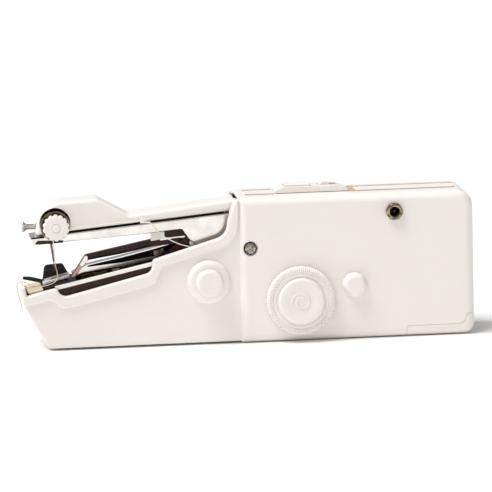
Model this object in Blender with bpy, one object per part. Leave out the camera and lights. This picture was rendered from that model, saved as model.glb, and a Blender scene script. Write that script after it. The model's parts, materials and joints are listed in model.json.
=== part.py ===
"""Handheld battery sewing machine, built as an assembly of separate named pieces.

X runs along the machine from the needle end to the battery end, Y from the front face to the rear, Z up.
Lengths below are millimetres in a design frame: X = 0 near the needle, Y = 0 on the seam between the two
case halves, Z = 0 on the flat base. make() writes metres with the origin under the middle of the machine.
"""
import math

import bmesh
import bpy
from mathutils import Matrix, Vector

MM = 0.001
GAP = 0.3

# Overall size
NOSE_X = -5.2
END_X = 210.3
HALF_DEPTH = 17.5
CASE_TOP = 69.0
STEP_X = 98.4
ARM_HALF_DEPTH = 15.5
ARM_BASE = 0.8
WALL = 2.0
LIP_FRONT = -16.6
LIP_EDGE = 1.0
WHEEL_FRONT = -24.0

# The needle arm: pivot inside the case, lever end beyond it
ARM_PIVOT = (110.0, 58.0)
ROD_X = 134.0
ROD_Z = 57.6
ARM_SWING = 5.5
ARM_SIDE = 8.2
SHEET = 0.8

# Drive train, seen from the front
WHEEL = (127.0, 19.9)
MODULE = 0.8
MAIN_TEETH = 36
IDLER_SMALL = 10
IDLER_BIG = 28
PINION_TEETH = 8
IDLER_ANGLE = 60.0
MOTOR_ANGLE = 30.0
CRANK_RADIUS = (ROD_X - ARM_PIVOT[0]) * math.sin(math.radians(ARM_SWING)) / 2
MOTOR_RADIUS = 10.0

# The sloping bed under the needle
BED_ANGLE = 12.0
BED_START = 26.0
BED_SIDE = 12.5
LEVER_PIVOT = (78.0, 47.4)

# Needle and thread tension
NEEDLE_TOP = (10.0, 58.4)
NEEDLE_TIP = (13.0, 34.6)
NEEDLE_RADIUS = 0.55
TENSION = (12.7, 58.1)
RECESS = (12.7, 59.4)
NEEDLE_SCREW_Z = 57.0
HOOK = (55.2, 58.2)

# Things mounted through the case
SPOOL = (83.9, 29.9)
SPARE = (152.8, 26.2)
JACK = (172.4, 60.3)
FRONT_SCREW = (103.9, 45.1)
REAR_SCREWS = ((21.0, 7.5), (160.0, 61.0), (168.0, 9.0))
CELLS_X = (184.9, 200.1)
CELL_Y = 7.5
CELL_RADIUS = 7.2
CELL_BASE = 3.3
CELL_LENGTH = 50.0
COVER_X = 177.6
THREAD_RADIUS = 0.25

CENTRE = Vector(((NOSE_X + END_X) / 2, (WHEEL_FRONT + HALF_DEPTH) / 2, 0.0))

# Outline corners are (x, z, radius), anticlockwise as seen from the front
BODY_CORNERS = [(STEP_X, 0.0, 1.5), (END_X, 0.0, 5.0), (END_X, CASE_TOP, 8.0), (STEP_X, CASE_TOP, 2.5)]
LIP_INNER = [
    (97.3, 68.4, 0.6),
    (93.4, 58.0, 12.0),
    (93.0, 51.5, 7.0),
    (57.9, 41.3, 1.5),
    (57.0, 35.2, 4.0),
    (14.6, 25.0, 4.0),
    (12.0, 29.7, 2.0),
    (-2.2, 26.2, 1.0),
    (-2.9, 31.2, 0.6),
    (NOSE_X, 30.6, 1.0),
]
LIP_OUTER = [
    (-3.6, 21.6, 1.2),
    (9.6, 24.6, 3.0),
    (14.2, 19.4, 6.5),
    (58.8, 29.9, 6.5),
    (62.4, 38.2, 2.0),
    (98.0, 47.8, 12.0),
    (STEP_X + 0.6, 68.4, 0.6),
]
NOSE_CORNERS = [(-3.6, 22.0, 2.0), (7.8, ARM_BASE, 3.0), (104.0, ARM_BASE, 0.0), (104.0, 66.0, 0.0)]


def bed_point(along, height):
    """Point on the sloping bed: distance along it from x = 0, height above its top edge."""
    slope = math.radians(BED_ANGLE)
    x = along * math.cos(slope) - height * math.sin(slope)
    z = BED_START + along * math.sin(slope) + height * math.cos(slope)
    return x, z


def gap_line(x):
    """Height of the line that parts the arm's white cover from the steel channel below it."""
    return 53.1 + 0.088 * x


def polar(centre, radius, angle):
    """Point in the XZ plane at a distance and an angle in degrees from a centre."""
    turn = math.radians(angle)
    return centre[0] + radius * math.cos(turn), centre[1] + radius * math.sin(turn)


IDLER = polar(WHEEL, MODULE * (MAIN_TEETH + IDLER_SMALL) / 2, IDLER_ANGLE)
MOTOR = polar(IDLER, MODULE * (IDLER_BIG + PINION_TEETH) / 2, MOTOR_ANGLE)


# ---------------------------------------------------------------- outlines and solids


def outline(corners, inset=0.0, step=30.0):
    """Points of a closed outline with rounded corners, moved inwards by inset."""
    points = []
    count = len(corners)
    for i, (x, z, radius) in enumerate(corners):
        here = Vector((x, z))
        before = Vector(corners[i - 1][:2])
        after = Vector(corners[(i + 1) % count][:2])
        enter = (here - before).normalized()
        leave = (after - here).normalized()
        left_in = Vector((-enter.y, enter.x))
        left_out = Vector((-leave.y, leave.x))
        corner = here + (left_in + left_out) * (inset / (1 + left_in.dot(left_out)))
        turn = math.atan2(enter.x * leave.y - enter.y * leave.x, enter.dot(leave))
        if radius == 0:
            points.append(corner)
            continue
        side = 1 if turn > 0 else -1
        arc = max(radius - side * inset, 0.05)
        start = corner - enter * (arc * math.tan(abs(turn) / 2))
        centre = start + left_in * (side * arc)
        steps = max(1, math.ceil(math.degrees(abs(turn)) / step))
        for k in range(steps + 1):
            spoke = start - centre
            spoke.rotate(Matrix.Rotation(turn * k / steps, 2))
            points.append(centre + spoke)
    return points


def loft(rings):
    """Closed solid through rings of equal count, with a flat face on each end."""
    bm = bmesh.new()
    rows = [[bm.verts.new(point) for point in ring] for ring in rings]
    for low, high in zip(rows, rows[1:]):
        for i in range(len(low)):
            j = (i + 1) % len(low)
            bm.faces.new((low[i], low[j], high[j], high[i]))
    bm.faces.new(list(reversed(rows[0])))
    bm.faces.new(rows[-1])
    bmesh.ops.recalc_face_normals(bm, faces=bm.faces)
    return bm


def slab(corners, front, back, front_edge=0.0, back_edge=0.0, step=30.0, edge_steps=2, grow=0.0):
    """Solid of an XZ outline, grown all round, between two Y values, its front and back edges rounded."""
    layers = []
    for k in range(edge_steps + 1 if front_edge else 1):
        turn = math.radians(90 * k / edge_steps)
        inset = front_edge * (1 - math.sin(turn))
        layers.append((inset, front + front_edge * (1 - math.cos(turn))))
    for k in range(edge_steps + 1 if back_edge else 1):
        turn = math.radians(90 - 90 * k / edge_steps)
        inset = back_edge * (1 - math.sin(turn))
        layers.append((inset, back - back_edge * (1 - math.cos(turn))))
    rings = [[Vector((p.x, y, p.y)) for p in outline(corners, inset - grow, step)] for inset, y in layers]
    return loft(rings)


def box(low, high):
    """Solid box between two corners."""
    corners = [(low[0], low[2], 0), (high[0], low[2], 0), (high[0], high[2], 0), (low[0], high[2], 0)]
    return slab(corners, low[1], high[1])


AXES = {
    "X": (Vector((1, 0, 0)), Vector((0, 1, 0)), Vector((0, 0, 1))),
    "Y": (Vector((0, 1, 0)), Vector((1, 0, 0)), Vector((0, 0, 1))),
    "Z": (Vector((0, 0, 1)), Vector((1, 0, 0)), Vector((0, 1, 0))),
}


def turned(profile, centre, axis="Y", sides=20, bored=False):
    """Solid of revolution: profile is (position along the axis, radius), bored when it is a closed loop."""
    along, across, up = AXES[axis]
    base = Vector(centre) - along * Vector(centre).dot(along)
    bm = bmesh.new()
    rows = []
    for place, radius in profile:
        middle = base + along * place
        if radius == 0:
            rows.append([bm.verts.new(middle)])
            continue
        ring = []
        for i in range(sides):
            turn = 2 * math.pi * i / sides
            ring.append(bm.verts.new(middle + (across * math.cos(turn) + up * math.sin(turn)) * radius))
        rows.append(ring)
    pairs = list(zip(rows, rows[1:] + rows[:1])) if bored else list(zip(rows, rows[1:]))
    for low, high in pairs:
        for i in range(sides):
            j = (i + 1) % sides
            if len(low) == 1:
                bm.faces.new((low[0], high[j], high[i]))
            elif len(high) == 1:
                bm.faces.new((low[i], low[j], high[0]))
            else:
                bm.faces.new((low[i], low[j], high[j], high[i]))
    if not bored:
        for row in (rows[0], rows[-1]):
            if len(row) > 1:
                bm.faces.new(row)
    bmesh.ops.recalc_face_normals(bm, faces=bm.faces)
    return bm


def disc(radius, front, back, centre, axis="Y", sides=20):
    """Plain cylinder between two positions along an axis."""
    place = {"X": (0, centre[0], centre[1]), "Y": (centre[0], 0, centre[1]), "Z": (centre[0], centre[1], 0)}
    return turned([(front, radius), (back, radius)], place[axis], axis, sides)


def gear(teeth, centre, front, back, tooth_at):
    """Spur gear with straight-sided teeth, one of them centred on the angle tooth_at."""
    pitch = MODULE * teeth / 2
    shape = ((-0.27, -1.2), (-0.09, 0.85), (0.09, 0.85), (0.27, -1.2))
    corners = []
    for tooth in range(teeth):
        for part, depth in shape:
            angle = tooth_at + 360.0 * (tooth + part) / teeth
            corners.append(polar(centre, pitch + depth * MODULE, angle) + (0.0,))
    return slab(corners, front, back)


# ---------------------------------------------------------------- objects


def material(name, colour, roughness, metallic=0.0):
    """Principled material with a linear colour."""
    made = bpy.data.materials.new(name)
    made.use_nodes = True
    shader = made.node_tree.nodes["Principled BSDF"]
    shader.inputs["Base Color"].default_value = (*colour, 1.0)
    shader.inputs["Roughness"].default_value = roughness
    shader.inputs["Metallic"].default_value = metallic
    return made


def make(name, bm, finish, pivot=None):
    """Object in metres from a solid in millimetres, its origin on the pivot (x, y, z)."""
    low = Vector([min(v.co[i] for v in bm.verts) for i in range(3)])
    high = Vector([max(v.co[i] for v in bm.verts) for i in range(3)])
    origin = Vector(pivot) if pivot else (low + high) / 2
    for vertex in bm.verts:
        vertex.co = (vertex.co - origin) * MM
    mesh = bpy.data.meshes.new(name)
    bm.to_mesh(mesh)
    bm.free()
    mesh.shade_smooth()
    mesh.set_sharp_from_angle(angle=math.radians(35))
    if finish:
        mesh.materials.append(finish)
    made = bpy.data.objects.new(name, mesh)
    made.location = (origin - CENTRE) * MM
    bpy.context.scene.collection.objects.link(made)
    return made


def combine(target, bm, operation):
    """Boolean of a helper solid with an object; the helper stays as a hidden guide."""
    guide = make(f"guide_{target.name}_{len(target.modifiers)}", bm, None)
    guide.hide_render = True
    guide.display_type = "WIRE"
    step = target.modifiers.new("shape", "BOOLEAN")
    step.operation = operation
    step.solver = "EXACT"
    step.object = guide


def cut(target, bm):
    combine(target, bm, "DIFFERENCE")


def add(target, bm):
    combine(target, bm, "UNION")


def wire(name, points, radius, finish, resolution=2):
    """Round wire or thread along points, as a curve with filled ends."""
    curve = bpy.data.curves.new(name, "CURVE")
    curve.dimensions = "3D"
    curve.bevel_depth = radius * MM
    curve.bevel_resolution = resolution
    curve.use_fill_caps = True
    line = curve.splines.new("POLY")
    line.points.add(len(points) - 1)
    origin = Vector(points[0])
    for slot, point in zip(line.points, points):
        slot.co = (*((Vector(point) - origin) * MM), 1.0)
    curve.materials.append(finish)
    made = bpy.data.objects.new(name, curve)
    made.location = (origin - CENTRE) * MM
    bpy.context.scene.collection.objects.link(made)
    return made


def smooth_route(route, spacing):
    """Even points along a Catmull-Rom curve through hand-placed route points."""
    knots = [Vector(p) for p in route]
    ends = [knots[0] * 2 - knots[1]] + knots + [knots[-1] * 2 - knots[-2]]
    fine = []
    for a, b, c, d in zip(ends, ends[1:], ends[2:], ends[3:]):
        for k in range(20):
            t = k / 20
            fine.append(
                0.5 * (2 * b + (c - a) * t + (2 * a - 5 * b + 4 * c - d) * t**2 + (3 * b - a - 3 * c + d) * t**3)
            )
    fine.append(knots[-1])
    length = sum((b - a).length for a, b in zip(fine, fine[1:]))
    count = max(2, round(length / spacing))
    points = [fine[0]]
    walked = 0.0
    for a, b in zip(fine, fine[1:]):
        walked += (b - a).length
        if walked >= length * len(points) / count and len(points) < count:
            points.append(b)
    points.append(fine[-1])
    return points


def coil(centre, radius, low, high, turns, axis="Y"):
    """Points of a helix along an axis."""
    along, across, up = AXES[axis]
    base = Vector(centre) - along * Vector(centre).dot(along)
    steps = int(turns * 10)
    points = []
    for k in range(steps + 1):
        turn = 2 * math.pi * turns * k / steps
        height = low + (high - low) * k / steps
        points.append(base + along * height + (across * math.cos(turn) + up * math.sin(turn)) * radius)
    return points


def at_y(centre, y=0.0):
    """An XZ point as an XYZ point."""
    return (centre[0], y, centre[1])


# ---------------------------------------------------------------- the case


def cover_region(spread):
    """Outline of the battery cover's corner of the case, grown by spread."""
    return [
        (COVER_X - spread, -9.0, 0),
        (END_X + 9.0, -9.0, 0),
        (END_X + 9.0, 10.0 + spread, 0),
        (206.4 - spread, 10.0 + spread, 1.0),
        (205.0 - spread, 5.1 + spread, 3.5),
        (COVER_X - spread, 5.1 + spread, 0),
    ]


def case_half(name, finish, side):
    """One half of the case: side is -1 for the front half and 1 for the rear half."""

    def span(near, far):
        return (near * side, far * side) if side > 0 else (far * side, near * side)

    def edges(radius):
        return {"back_edge": radius} if side > 0 else {"front_edge": radius}

    half = make(name, slab(BODY_CORNERS, *span(-4, HALF_DEPTH), **edges(4.0)), finish, (STEP_X, 0, 0))
    arm_corners = LIP_INNER + NOSE_CORNERS
    add(half, slab(arm_corners, *span(-4, ARM_HALF_DEPTH), **edges(LIP_EDGE)))
    if side < 0:
        lip_corners = LIP_INNER + LIP_OUTER
        add(half, slab(lip_corners, LIP_FRONT, -ARM_HALF_DEPTH + 1.0, front_edge=LIP_EDGE, grow=0.07))
        add(half, collar())
    inner_body = [(STEP_X + WALL, WALL, 1), (END_X - WALL, WALL, 3), (END_X - WALL, CASE_TOP - WALL, 6)]
    inner_body += [(STEP_X + WALL, CASE_TOP - WALL, 1)]
    cut(half, slab(inner_body, *span(-6, HALF_DEPTH - WALL), **edges(2.0)))
    tray = [(-1.6, 90.0, 0), (-1.6, 22.5, 1), (9.0, ARM_BASE + WALL, 2), (106.0, ARM_BASE + WALL, 0)]
    tray += [(106.0, 56.0, 0), (95.5, 56.0, 0), (92.0, 90.0, 0)]
    cut(half, slab(tray, *span(-6, ARM_HALF_DEPTH - WALL)))
    cut(half, box((88.0, -9.2, 50.0), (102.4, 9.2, 64.6)))
    cut(half, box((88.0, -9.2, 60.0), (99.2, 9.2, 80.0)))
    return half


def collar():
    """Domed collar on the front of the case around the spool spindle."""
    return turned([(-14.5, 10.4), (-16.4, 10.4), (-17.6, 9.6), (-18.2, 8.2), (-18.2, 0.0)], at_y(SPOOL), sides=24)


def post(half, centre, side):
    """Screw post on the inside of one case half, up to the seam."""
    wall = (ARM_HALF_DEPTH if centre[0] < STEP_X else HALF_DEPTH) - WALL + 0.5
    low, high = sorted((-side * 1.0, side * wall))
    add(half, disc(3.3, low, high, centre, sides=12))


def case_openings(half, side):
    """Holes shared by both halves: seam, switch slots and the battery cover's corner."""
    cut(half, slab(cover_region(GAP), -30, 30))
    cut(half, box((121.8, -4.6, 66.0), (135.2, 4.6, 75.0)))
    cut(half, box((139.4, -1.6, 66.0), (147.2, 1.6, 75.0)))
    low, high = sorted((0.15 * side, -30.0 * side))
    cut(half, box((-20, low, -20), (230, high, 100)))


def build_case(white):
    front = case_half("front_case", white, -1)
    for centre in REAR_SCREWS:
        post(front, centre, -1)
    add(front, disc(3.6, -16.0, -9.4, ARM_PIVOT, sides=16))
    cut(front, disc(2.1, -14.8, 0.0, ARM_PIVOT, sides=16))
    cut(front, disc(2.1, -30, 0, SPOOL, sides=16))
    cut(front, disc(4.5, -30, -10, WHEEL))
    cut(front, disc(2.5, -30, -10, SPARE, sides=16))
    cut(front, disc(3.6, -30, -10, JACK, sides=16))
    cut(front, disc(3.6, -30, -16.0, FRONT_SCREW, sides=16))
    cut(front, disc(1.7, -30, -10, FRONT_SCREW, sides=12))
    cut(front, disc(1.5, -16.7, -10, IDLER, sides=12))
    for centre in REAR_SCREWS:
        cut(front, disc(1.7, -10, 10, centre, sides=12))
    case_openings(front, -1)

    rear = case_half("rear_case", white, 1)
    for centre in REAR_SCREWS + (FRONT_SCREW,):
        post(rear, centre, 1)
    add(rear, disc(3.6, 9.4, 16.0, ARM_PIVOT, sides=16))
    add(rear, disc(12.4, 1.2, 16.8, SPOOL, sides=24))
    cut(rear, disc(2.1, 0.0, 14.8, ARM_PIVOT, sides=16))
    cut(rear, disc(10.9, 2.7, 30, SPOOL, sides=24))
    cut(rear, disc(2.0, 0, 10, SPOOL, sides=16))
    cut(rear, box((82.4, 7.0, 38.0), (85.4, 10.0, 46.0)))
    cut(rear, disc(1.7, -5, 8, FRONT_SCREW, sides=12))
    for centre in REAR_SCREWS:
        face = ARM_HALF_DEPTH if centre[0] < STEP_X else HALF_DEPTH
        cut(rear, disc(3.4, face - 1.4, 30, centre, sides=16))
        cut(rear, disc(1.7, -5, 30, centre, sides=12))
    case_openings(rear, 1)


def build_battery_cover(white, steel):
    """Cover that wraps the bottom corner of the battery bay, with its contact strip."""
    corners = [(COVER_X - 6, 0.0, 0)] + BODY_CORNERS[1:3] + [(COVER_X - 6, CASE_TOP, 0)]
    cover = make("battery_cover", slab(corners, -HALF_DEPTH, HALF_DEPTH, 4.0, 4.0), white)
    inner = [(COVER_X - 9, WALL, 0), (END_X - WALL, WALL, 3), (END_X - WALL, 80.0, 0), (COVER_X - 9, 80.0, 0)]
    cut(cover, slab(inner, WALL - HALF_DEPTH, HALF_DEPTH - WALL, 2.0, 2.0))
    combine(cover, slab(cover_region(0.0), -30, 30), "INTERSECT")
    make("cover_contact", box((180.0, -12.5, 2.3), (205.0, 12.5, 2.8)), steel)


def screw(name, centre, face, side, length, finish):
    """Cross-head case screw whose head sits at face; side is -1 on the front and 1 at the rear."""
    tip = face - side * length
    under = face - side * 1.0
    profile = [(tip, 0.0), (tip + side * 0.8, 1.2), (under, 1.2), (under, 3.0), (face - side * 0.4, 3.0)]
    profile += [(face, 2.2), (face, 0.0)]
    made = make(name, turned(profile, at_y(centre), sides=12), finish)
    low, high = sorted((face - side * 0.6, face + side * 1.0))
    cut(made, box((centre[0] - 1.7, low, centre[1] - 0.35), (centre[0] + 1.7, high, centre[1] + 0.35)))
    cut(made, box((centre[0] - 0.35, low, centre[1] - 1.7), (centre[0] + 0.35, high, centre[1] + 1.7)))


def build_screws(nickel):
    screw("case_screw_1", FRONT_SCREW, -17.3, -1, 24.0, nickel)
    for number, centre in enumerate(REAR_SCREWS, 2):
        face = (ARM_HALF_DEPTH if centre[0] < STEP_X else HALF_DEPTH) - 0.1
        screw(f"case_screw_{number}", centre, face, 1, 22.0, nickel)


def build_jack(nickel, black):
    """Round supply socket through the front of the case."""
    nut = [(-17.8, 3.5), (-17.8, 4.05), (-19.3, 4.05), (-19.6, 3.7), (-19.6, 3.5)]
    make("jack_nut", turned(nut, at_y(JACK), sides=24, bored=True), nickel)
    barrel = [(-8.0, 0.0), (-8.0, 3.2), (-19.3, 3.2), (-19.3, 2.4), (-10.0, 2.4), (-10.0, 0.8), (-17.5, 0.8)]
    barrel += [(-17.5, 0.0)]
    make("jack_barrel", turned(barrel, at_y(JACK), sides=16), black)


def build_switch(white):
    """Boat-shaped housing on top of the case with the push button and the lock slider in it."""
    base = CASE_TOP + GAP
    profile = [(117.4, base, 0), (152.0, base, 0), (152.0, base + 0.8, 0), (146.6, 72.0, 1.5), (121.4, 72.0, 2.0)]
    profile += [(117.4, base + 0.8, 0)]
    housing = make("switch_housing", slab(profile, -6.6, 6.6, 0.3, 0.3), white)
    cut(housing, box((121.9, -4.5, 60.0), (135.1, 4.5, 80.0)))
    cut(housing, box((138.2, -2.9, 70.2), (147.2, 2.9, 80.0)))
    cut(housing, box((139.4, -1.6, 60.0), (146.9, 1.6, 80.0)))

    cap = [(122.3, 70.2, 0.4), (134.7, 70.2, 0.4), (134.7, 73.0, 0.8), (122.3, 73.0, 0.8)]
    button = make("power_button", slab(cap, -4.1, 4.1, 0.8, 0.8), white)
    add(button, box((125.0, -2.4, 67.0), (132.0, 2.4, 71.0)))

    knob = [(138.6, 70.5, 0.2), (143.9, 70.5, 0.2), (143.9, 72.0, 0.4), (142.4, 73.7, 0.5), (140.2, 73.7, 0.5)]
    knob += [(138.6, 72.0, 0.4)]
    slider = make("lock_slider", slab(knob, -2.5, 2.5, 0.5, 0.5), white)
    add(slider, box((139.7, -1.2, 67.4), (143.2, 1.2, 71.5)))


# ---------------------------------------------------------------- power and drive


def build_power(cell, steel, dark):
    for number, (x, y) in enumerate([(x, y) for x in CELLS_X for y in (-CELL_Y, CELL_Y)], 1):
        top = CELL_BASE + CELL_LENGTH
        profile = [(CELL_BASE, 0.0), (CELL_BASE, 6.4), (CELL_BASE + 0.6, CELL_RADIUS), (top - 1.8, CELL_RADIUS)]
        profile += [(top - 1.2, 6.4), (top - 1.2, 2.6), (top, 2.6), (top, 0.0)]
        make(f"battery_{number}", turned(profile, (x, y, 0), "Z", 20), cell)
    make("cell_contact", box((178.5, -13.5, 53.8), (206.5, 13.5, 54.6)), steel)
    make("battery_divider", box((174.8, -14.2, 3.2), (176.6, 14.2, 53.4)), dark)


def build_drive(white, steel, brass, dark):
    """Hand wheel, crank and the two-stage spur gearing to the motor."""
    x, z = WHEEL
    wheel = [(-21.6, 0.0), (-21.6, 2.8), (-17.9, 2.8), (-17.9, 15.6), (-18.6, 16.3), (-21.2, 16.3), (-22.0, 15.5)]
    wheel += [(-22.0, 11.9), (-21.3, 11.5), (-21.3, 11.0), (-23.5, 10.6), (WHEEL_FRONT, 9.9), (WHEEL_FRONT, 0.0)]
    make("handwheel", turned(wheel, at_y(WHEEL), sides=40), white, at_y(WHEEL, -20))

    shaft = [(-21.3, 0.0), (-21.3, 2.5), (-10.7, 2.5), (-10.7, 4.2), (-9.0, 4.2), (-9.0, 0.0)]
    crank = make("wheel_shaft", turned(shaft, at_y(WHEEL), sides=16), steel, at_y(WHEEL, -12))
    add(crank, disc(1.2, -9.5, -6.9, (x, z - CRANK_RADIUS), sides=12))

    main = make("main_gear", gear(MAIN_TEETH, WHEEL, -14.8, -11.0, IDLER_ANGLE), dark, at_y(WHEEL, -13))
    cut(main, disc(2.8, -30, 0, WHEEL, sides=16))

    half_tooth = 180.0 / IDLER_SMALL
    idler_small = gear(IDLER_SMALL, IDLER, -14.8, -10.5, IDLER_ANGLE + 180.0 + half_tooth)
    idler = make("idler_gear", idler_small, dark, at_y(IDLER, -12))
    add(idler, gear(IDLER_BIG, IDLER, -10.7, -8.0, MOTOR_ANGLE))
    add(idler, disc(1.2, -16.4, -14.0, IDLER, sides=12))

    half_tooth = 180.0 / PINION_TEETH
    teeth = gear(PINION_TEETH, MOTOR, -10.8, -8.0, MOTOR_ANGLE + 180.0 + half_tooth)
    pinion = make("motor_pinion", teeth, brass, at_y(MOTOR, -9))
    add(pinion, disc(1.0, -8.5, -6.6, MOTOR, sides=12))

    bush = [(-17.3, 2.8), (-17.3, 4.2), (-15.1, 4.2), (-15.1, 2.8)]
    make("shaft_bush", turned(bush, at_y(WHEEL), sides=20, bored=True), brass)

    can = [(-6.2, 0.0), (-6.2, 1.4), (-7.2, 1.4), (-7.2, 4.0), (-6.4, 4.0), (-6.4, 9.2), (-5.6, MOTOR_RADIUS)]
    can += [(12.0, MOTOR_RADIUS), (12.8, 9.2), (12.8, 0.0)]
    make("motor", turned(can, at_y(MOTOR), sides=24), steel)

    x, z = MOTOR
    saddle = [(x - 11.0, 2.4, 1), (x + 11.0, 2.4, 1), (x + 11.0, z, 1), (x - 11.0, z, 1)]
    cradle = make("motor_cradle", slab(saddle, 4.0, 8.0), dark)
    cut(cradle, disc(MOTOR_RADIUS + GAP, 0, 12, MOTOR, sides=24))

    pin = [(-14.4, 0.0), (-14.4, 1.8), (14.4, 1.8), (14.4, 0.0)]
    make("arm_pivot_pin", turned(pin, at_y(ARM_PIVOT), sides=12), steel)


# ---------------------------------------------------------------- needle arm


def build_arm(white, chrome, steel):
    pivot = at_y(ARM_PIVOT)
    line = gap_line(0.9) - 0.45
    side = [
        (1.5, 49.3, 2.2),
        (58.0, 53.0, 0.0),
        (72.6, 54.2, 1.5),
        (75.8, 49.2, 2.0),
        (79.9, 45.4, 2.5),
        (86.0, 46.6, 4.0),
        (92.0, 50.4, 3.0),
        (98.5, 54.6, 3.0),
        (137.6, 54.2, 3.0),
        (137.6, 61.2, 3.0),
        (93.5, gap_line(93.5) - 0.45, 0.0),
        (0.9, line, 0.8),
    ]
    channel = make("arm_channel", slab(side, -ARM_SIDE, ARM_SIDE, 0.6, 0.6), chrome, pivot)
    hollow = [(2.6, 30.0, 0), (150.0, 30.0, 0), (150.0, 60.3, 0), (93.5, gap_line(93.5) - 1.3, 0)]
    hollow += [(2.6, gap_line(2.6) - 1.3, 0)]
    cut(channel, slab(hollow, SHEET - ARM_SIDE, ARM_SIDE - SHEET))
    cut(channel, box((22.0, -7.1, 40.0), (86.0, 3.8, 70.0)))
    cut(channel, box((60.0, 5.0, 30.0), (99.0, 9.0, 54.4)))
    cut(channel, disc(2.1, -10, 10, ARM_PIVOT, sides=16))
    cut(channel, disc(1.8, -10, -5, (ROD_X, ROD_Z), sides=12))
    cut(channel, disc(1.7, -10, -5, TENSION, sides=12))

    crown = [
        (3.6, gap_line(3.6) + 0.45, 0.8),
        (98.2, gap_line(98.2) + 0.45, 0.5),
        (98.2, 67.6, 1.0),
        (47.5, 61.9, 3.0),
        (33.2, 70.1, 3.0),
        (13.0, 69.3, 11.0),
        (5.1, 63.9, 3.5),
    ]
    cover = make("arm_cover", slab(crown, -8.4, 8.4, 1.8, 1.8), white, pivot)
    room = [(5.1, 40.0, 0), (108.0, 40.0, 0), (108.0, 67.0, 0), (47.9, 60.3, 3.0), (32.8, 68.5, 2.0)]
    room += [(13.4, 67.7, 9.0), (6.7, 63.2, 2.0)]
    cut(cover, slab(room, -6.9, 6.9))
    cut(cover, disc(7.3, -10, -5, RECESS, sides=24))
    cut(cover, disc(1.8, 0, 10, (0.0, NEEDLE_SCREW_Z), "X", 12))

    cut(channel, disc(1.5, 50.0, 55.0, (NEEDLE_TOP[0] + 0.7, 0.0), "Z", 12))

    holder = make("needle_clamp", box((7.6, -2.6, 54.0), (12.8, 2.6, 60.2)), steel, pivot)
    cut(holder, disc(1.6, 50.0, 58.9, (NEEDLE_TOP[0] + 0.2, 0.0), "Z", 12))
    cut(holder, disc(1.5, 0.0, 9.6, (0.0, NEEDLE_SCREW_Z), "X", 12))


def build_needle(steel):
    """Needle that leans slightly, thick shank at the top and a long point."""
    top = Vector(at_y(NEEDLE_TOP))
    tip = Vector(at_y(NEEDLE_TIP))
    lean = (tip - top).normalized()
    length = (tip - top).length
    across = Vector((0, 1, 0))
    up = lean.cross(across)
    rings = []
    for place, radius in ((0.0, 0.9), (9.5, 0.9), (10.5, NEEDLE_RADIUS), (length - 3, NEEDLE_RADIUS), (length, 0.12)):
        ring = []
        for i in range(10):
            turn = 2 * math.pi * i / 10
            ring.append(top + lean * place + (across * math.cos(turn) + up * math.sin(turn)) * radius)
        rings.append(ring)
    make("needle", loft(rings), steel, at_y(ARM_PIVOT))

    head = [(-2.3, 0.0), (-2.3, 2.6), (-1.5, 2.6), (0.0, 1.3), (8.2, 1.3), (8.2, 0.0)]
    made = make("needle_screw", turned(head, (0, 0, NEEDLE_SCREW_Z), "X", 16), steel, (3, 0, NEEDLE_SCREW_Z))
    cut(made, box((-4.0, -0.35, NEEDLE_SCREW_Z - 4), (-1.7, 0.35, NEEDLE_SCREW_Z + 4)))


def build_tension(white, chrome, brass):
    """Thread tension: stud, two dished discs, spring and the scalloped knob."""
    pivot = at_y(ARM_PIVOT)
    centre = at_y(TENSION)
    stud = [(-6.4, 0.0), (-6.4, 2.6), (-7.1, 2.6), (-7.1, 1.4), (-15.0, 1.4), (-15.0, 0.0)]
    make("tension_stud", turned(stud, centre, sides=12), chrome, pivot)
    rear = [(-8.5, 1.7), (-8.5, 6.6), (-8.9, 7.3), (-9.2, 7.3), (-9.0, 6.4), (-9.0, 1.7)]
    make("tension_disc_rear", turned(rear, centre, sides=24, bored=True), brass, pivot)
    front = [(-10.2, 1.7), (-10.2, 6.4), (-10.0, 6.9), (-10.3, 6.9), (-10.7, 6.2), (-10.7, 1.7)]
    make("tension_disc_front", turned(front, centre, sides=24, bored=True), chrome, pivot)
    wire("tension_spring", coil(centre, 2.9, -12.5, -11.2, 2.5), 0.25, chrome, 1)

    lobes = 14
    corners = []
    for k in range(lobes * 4):
        radius = 6.2 if k % 4 in (1, 2) else 5.7
        corners.append(polar(TENSION, radius, 360.0 * k / (lobes * 4)) + (0.0,))
    knob = make("tension_knob", slab(corners, -15.6, -11.8, 0.5, 0.3, edge_steps=1), white, at_y(TENSION, -13))
    add(knob, disc(2.1, -16.2, -15.0, TENSION, sides=12))
    cut(knob, disc(4.2, -13.0, -10.0, TENSION, sides=16))
    cut(knob, disc(1.7, -15.3, -10.0, TENSION, sides=12))


def build_arm_fittings(steel, nickel):
    """Thread hook under the arm's cover and the rod that the crank pushes."""
    pivot = at_y(ARM_PIVOT)
    x, z = HOOK
    hook = make("thread_hook", box((x - 2.4, -9.6, z - 0.2), (x + 2.4, -8.6, z + 2.4)), steel, pivot)
    cut(hook, box((x - 0.6, -11.0, z + 0.5), (x + 4.0, -7.0, z + 1.4)))

    eye_x, eye_z = WHEEL[0], WHEEL[1] - CRANK_RADIUS
    shape = [
        (eye_x - 3.0, eye_z - 3.0, 2.9),
        (eye_x + 3.0, eye_z - 3.0, 2.9),
        (eye_x + 3.4, eye_z + 6.0, 3.0),
        (ROD_X + 2.8, ROD_Z - 8.0, 3.0),
        (ROD_X + 2.8, ROD_Z + 2.0, 2.4),
        (ROD_X - 2.8, ROD_Z + 2.0, 2.4),
        (ROD_X - 2.4, ROD_Z - 8.0, 3.0),
        (eye_x - 2.4, eye_z + 6.0, 3.0),
    ]
    rod = make("connecting_rod", slab(shape, -6.4, -4.6), nickel, at_y((ROD_X, ROD_Z)))
    add(rod, disc(1.5, -8.0, -6.0, (ROD_X, ROD_Z), sides=12))
    cut(rod, disc(1.5, -10.0, 0.0, (eye_x, eye_z), sides=12))


# ---------------------------------------------------------------- bed, presser, feed and looper


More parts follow.
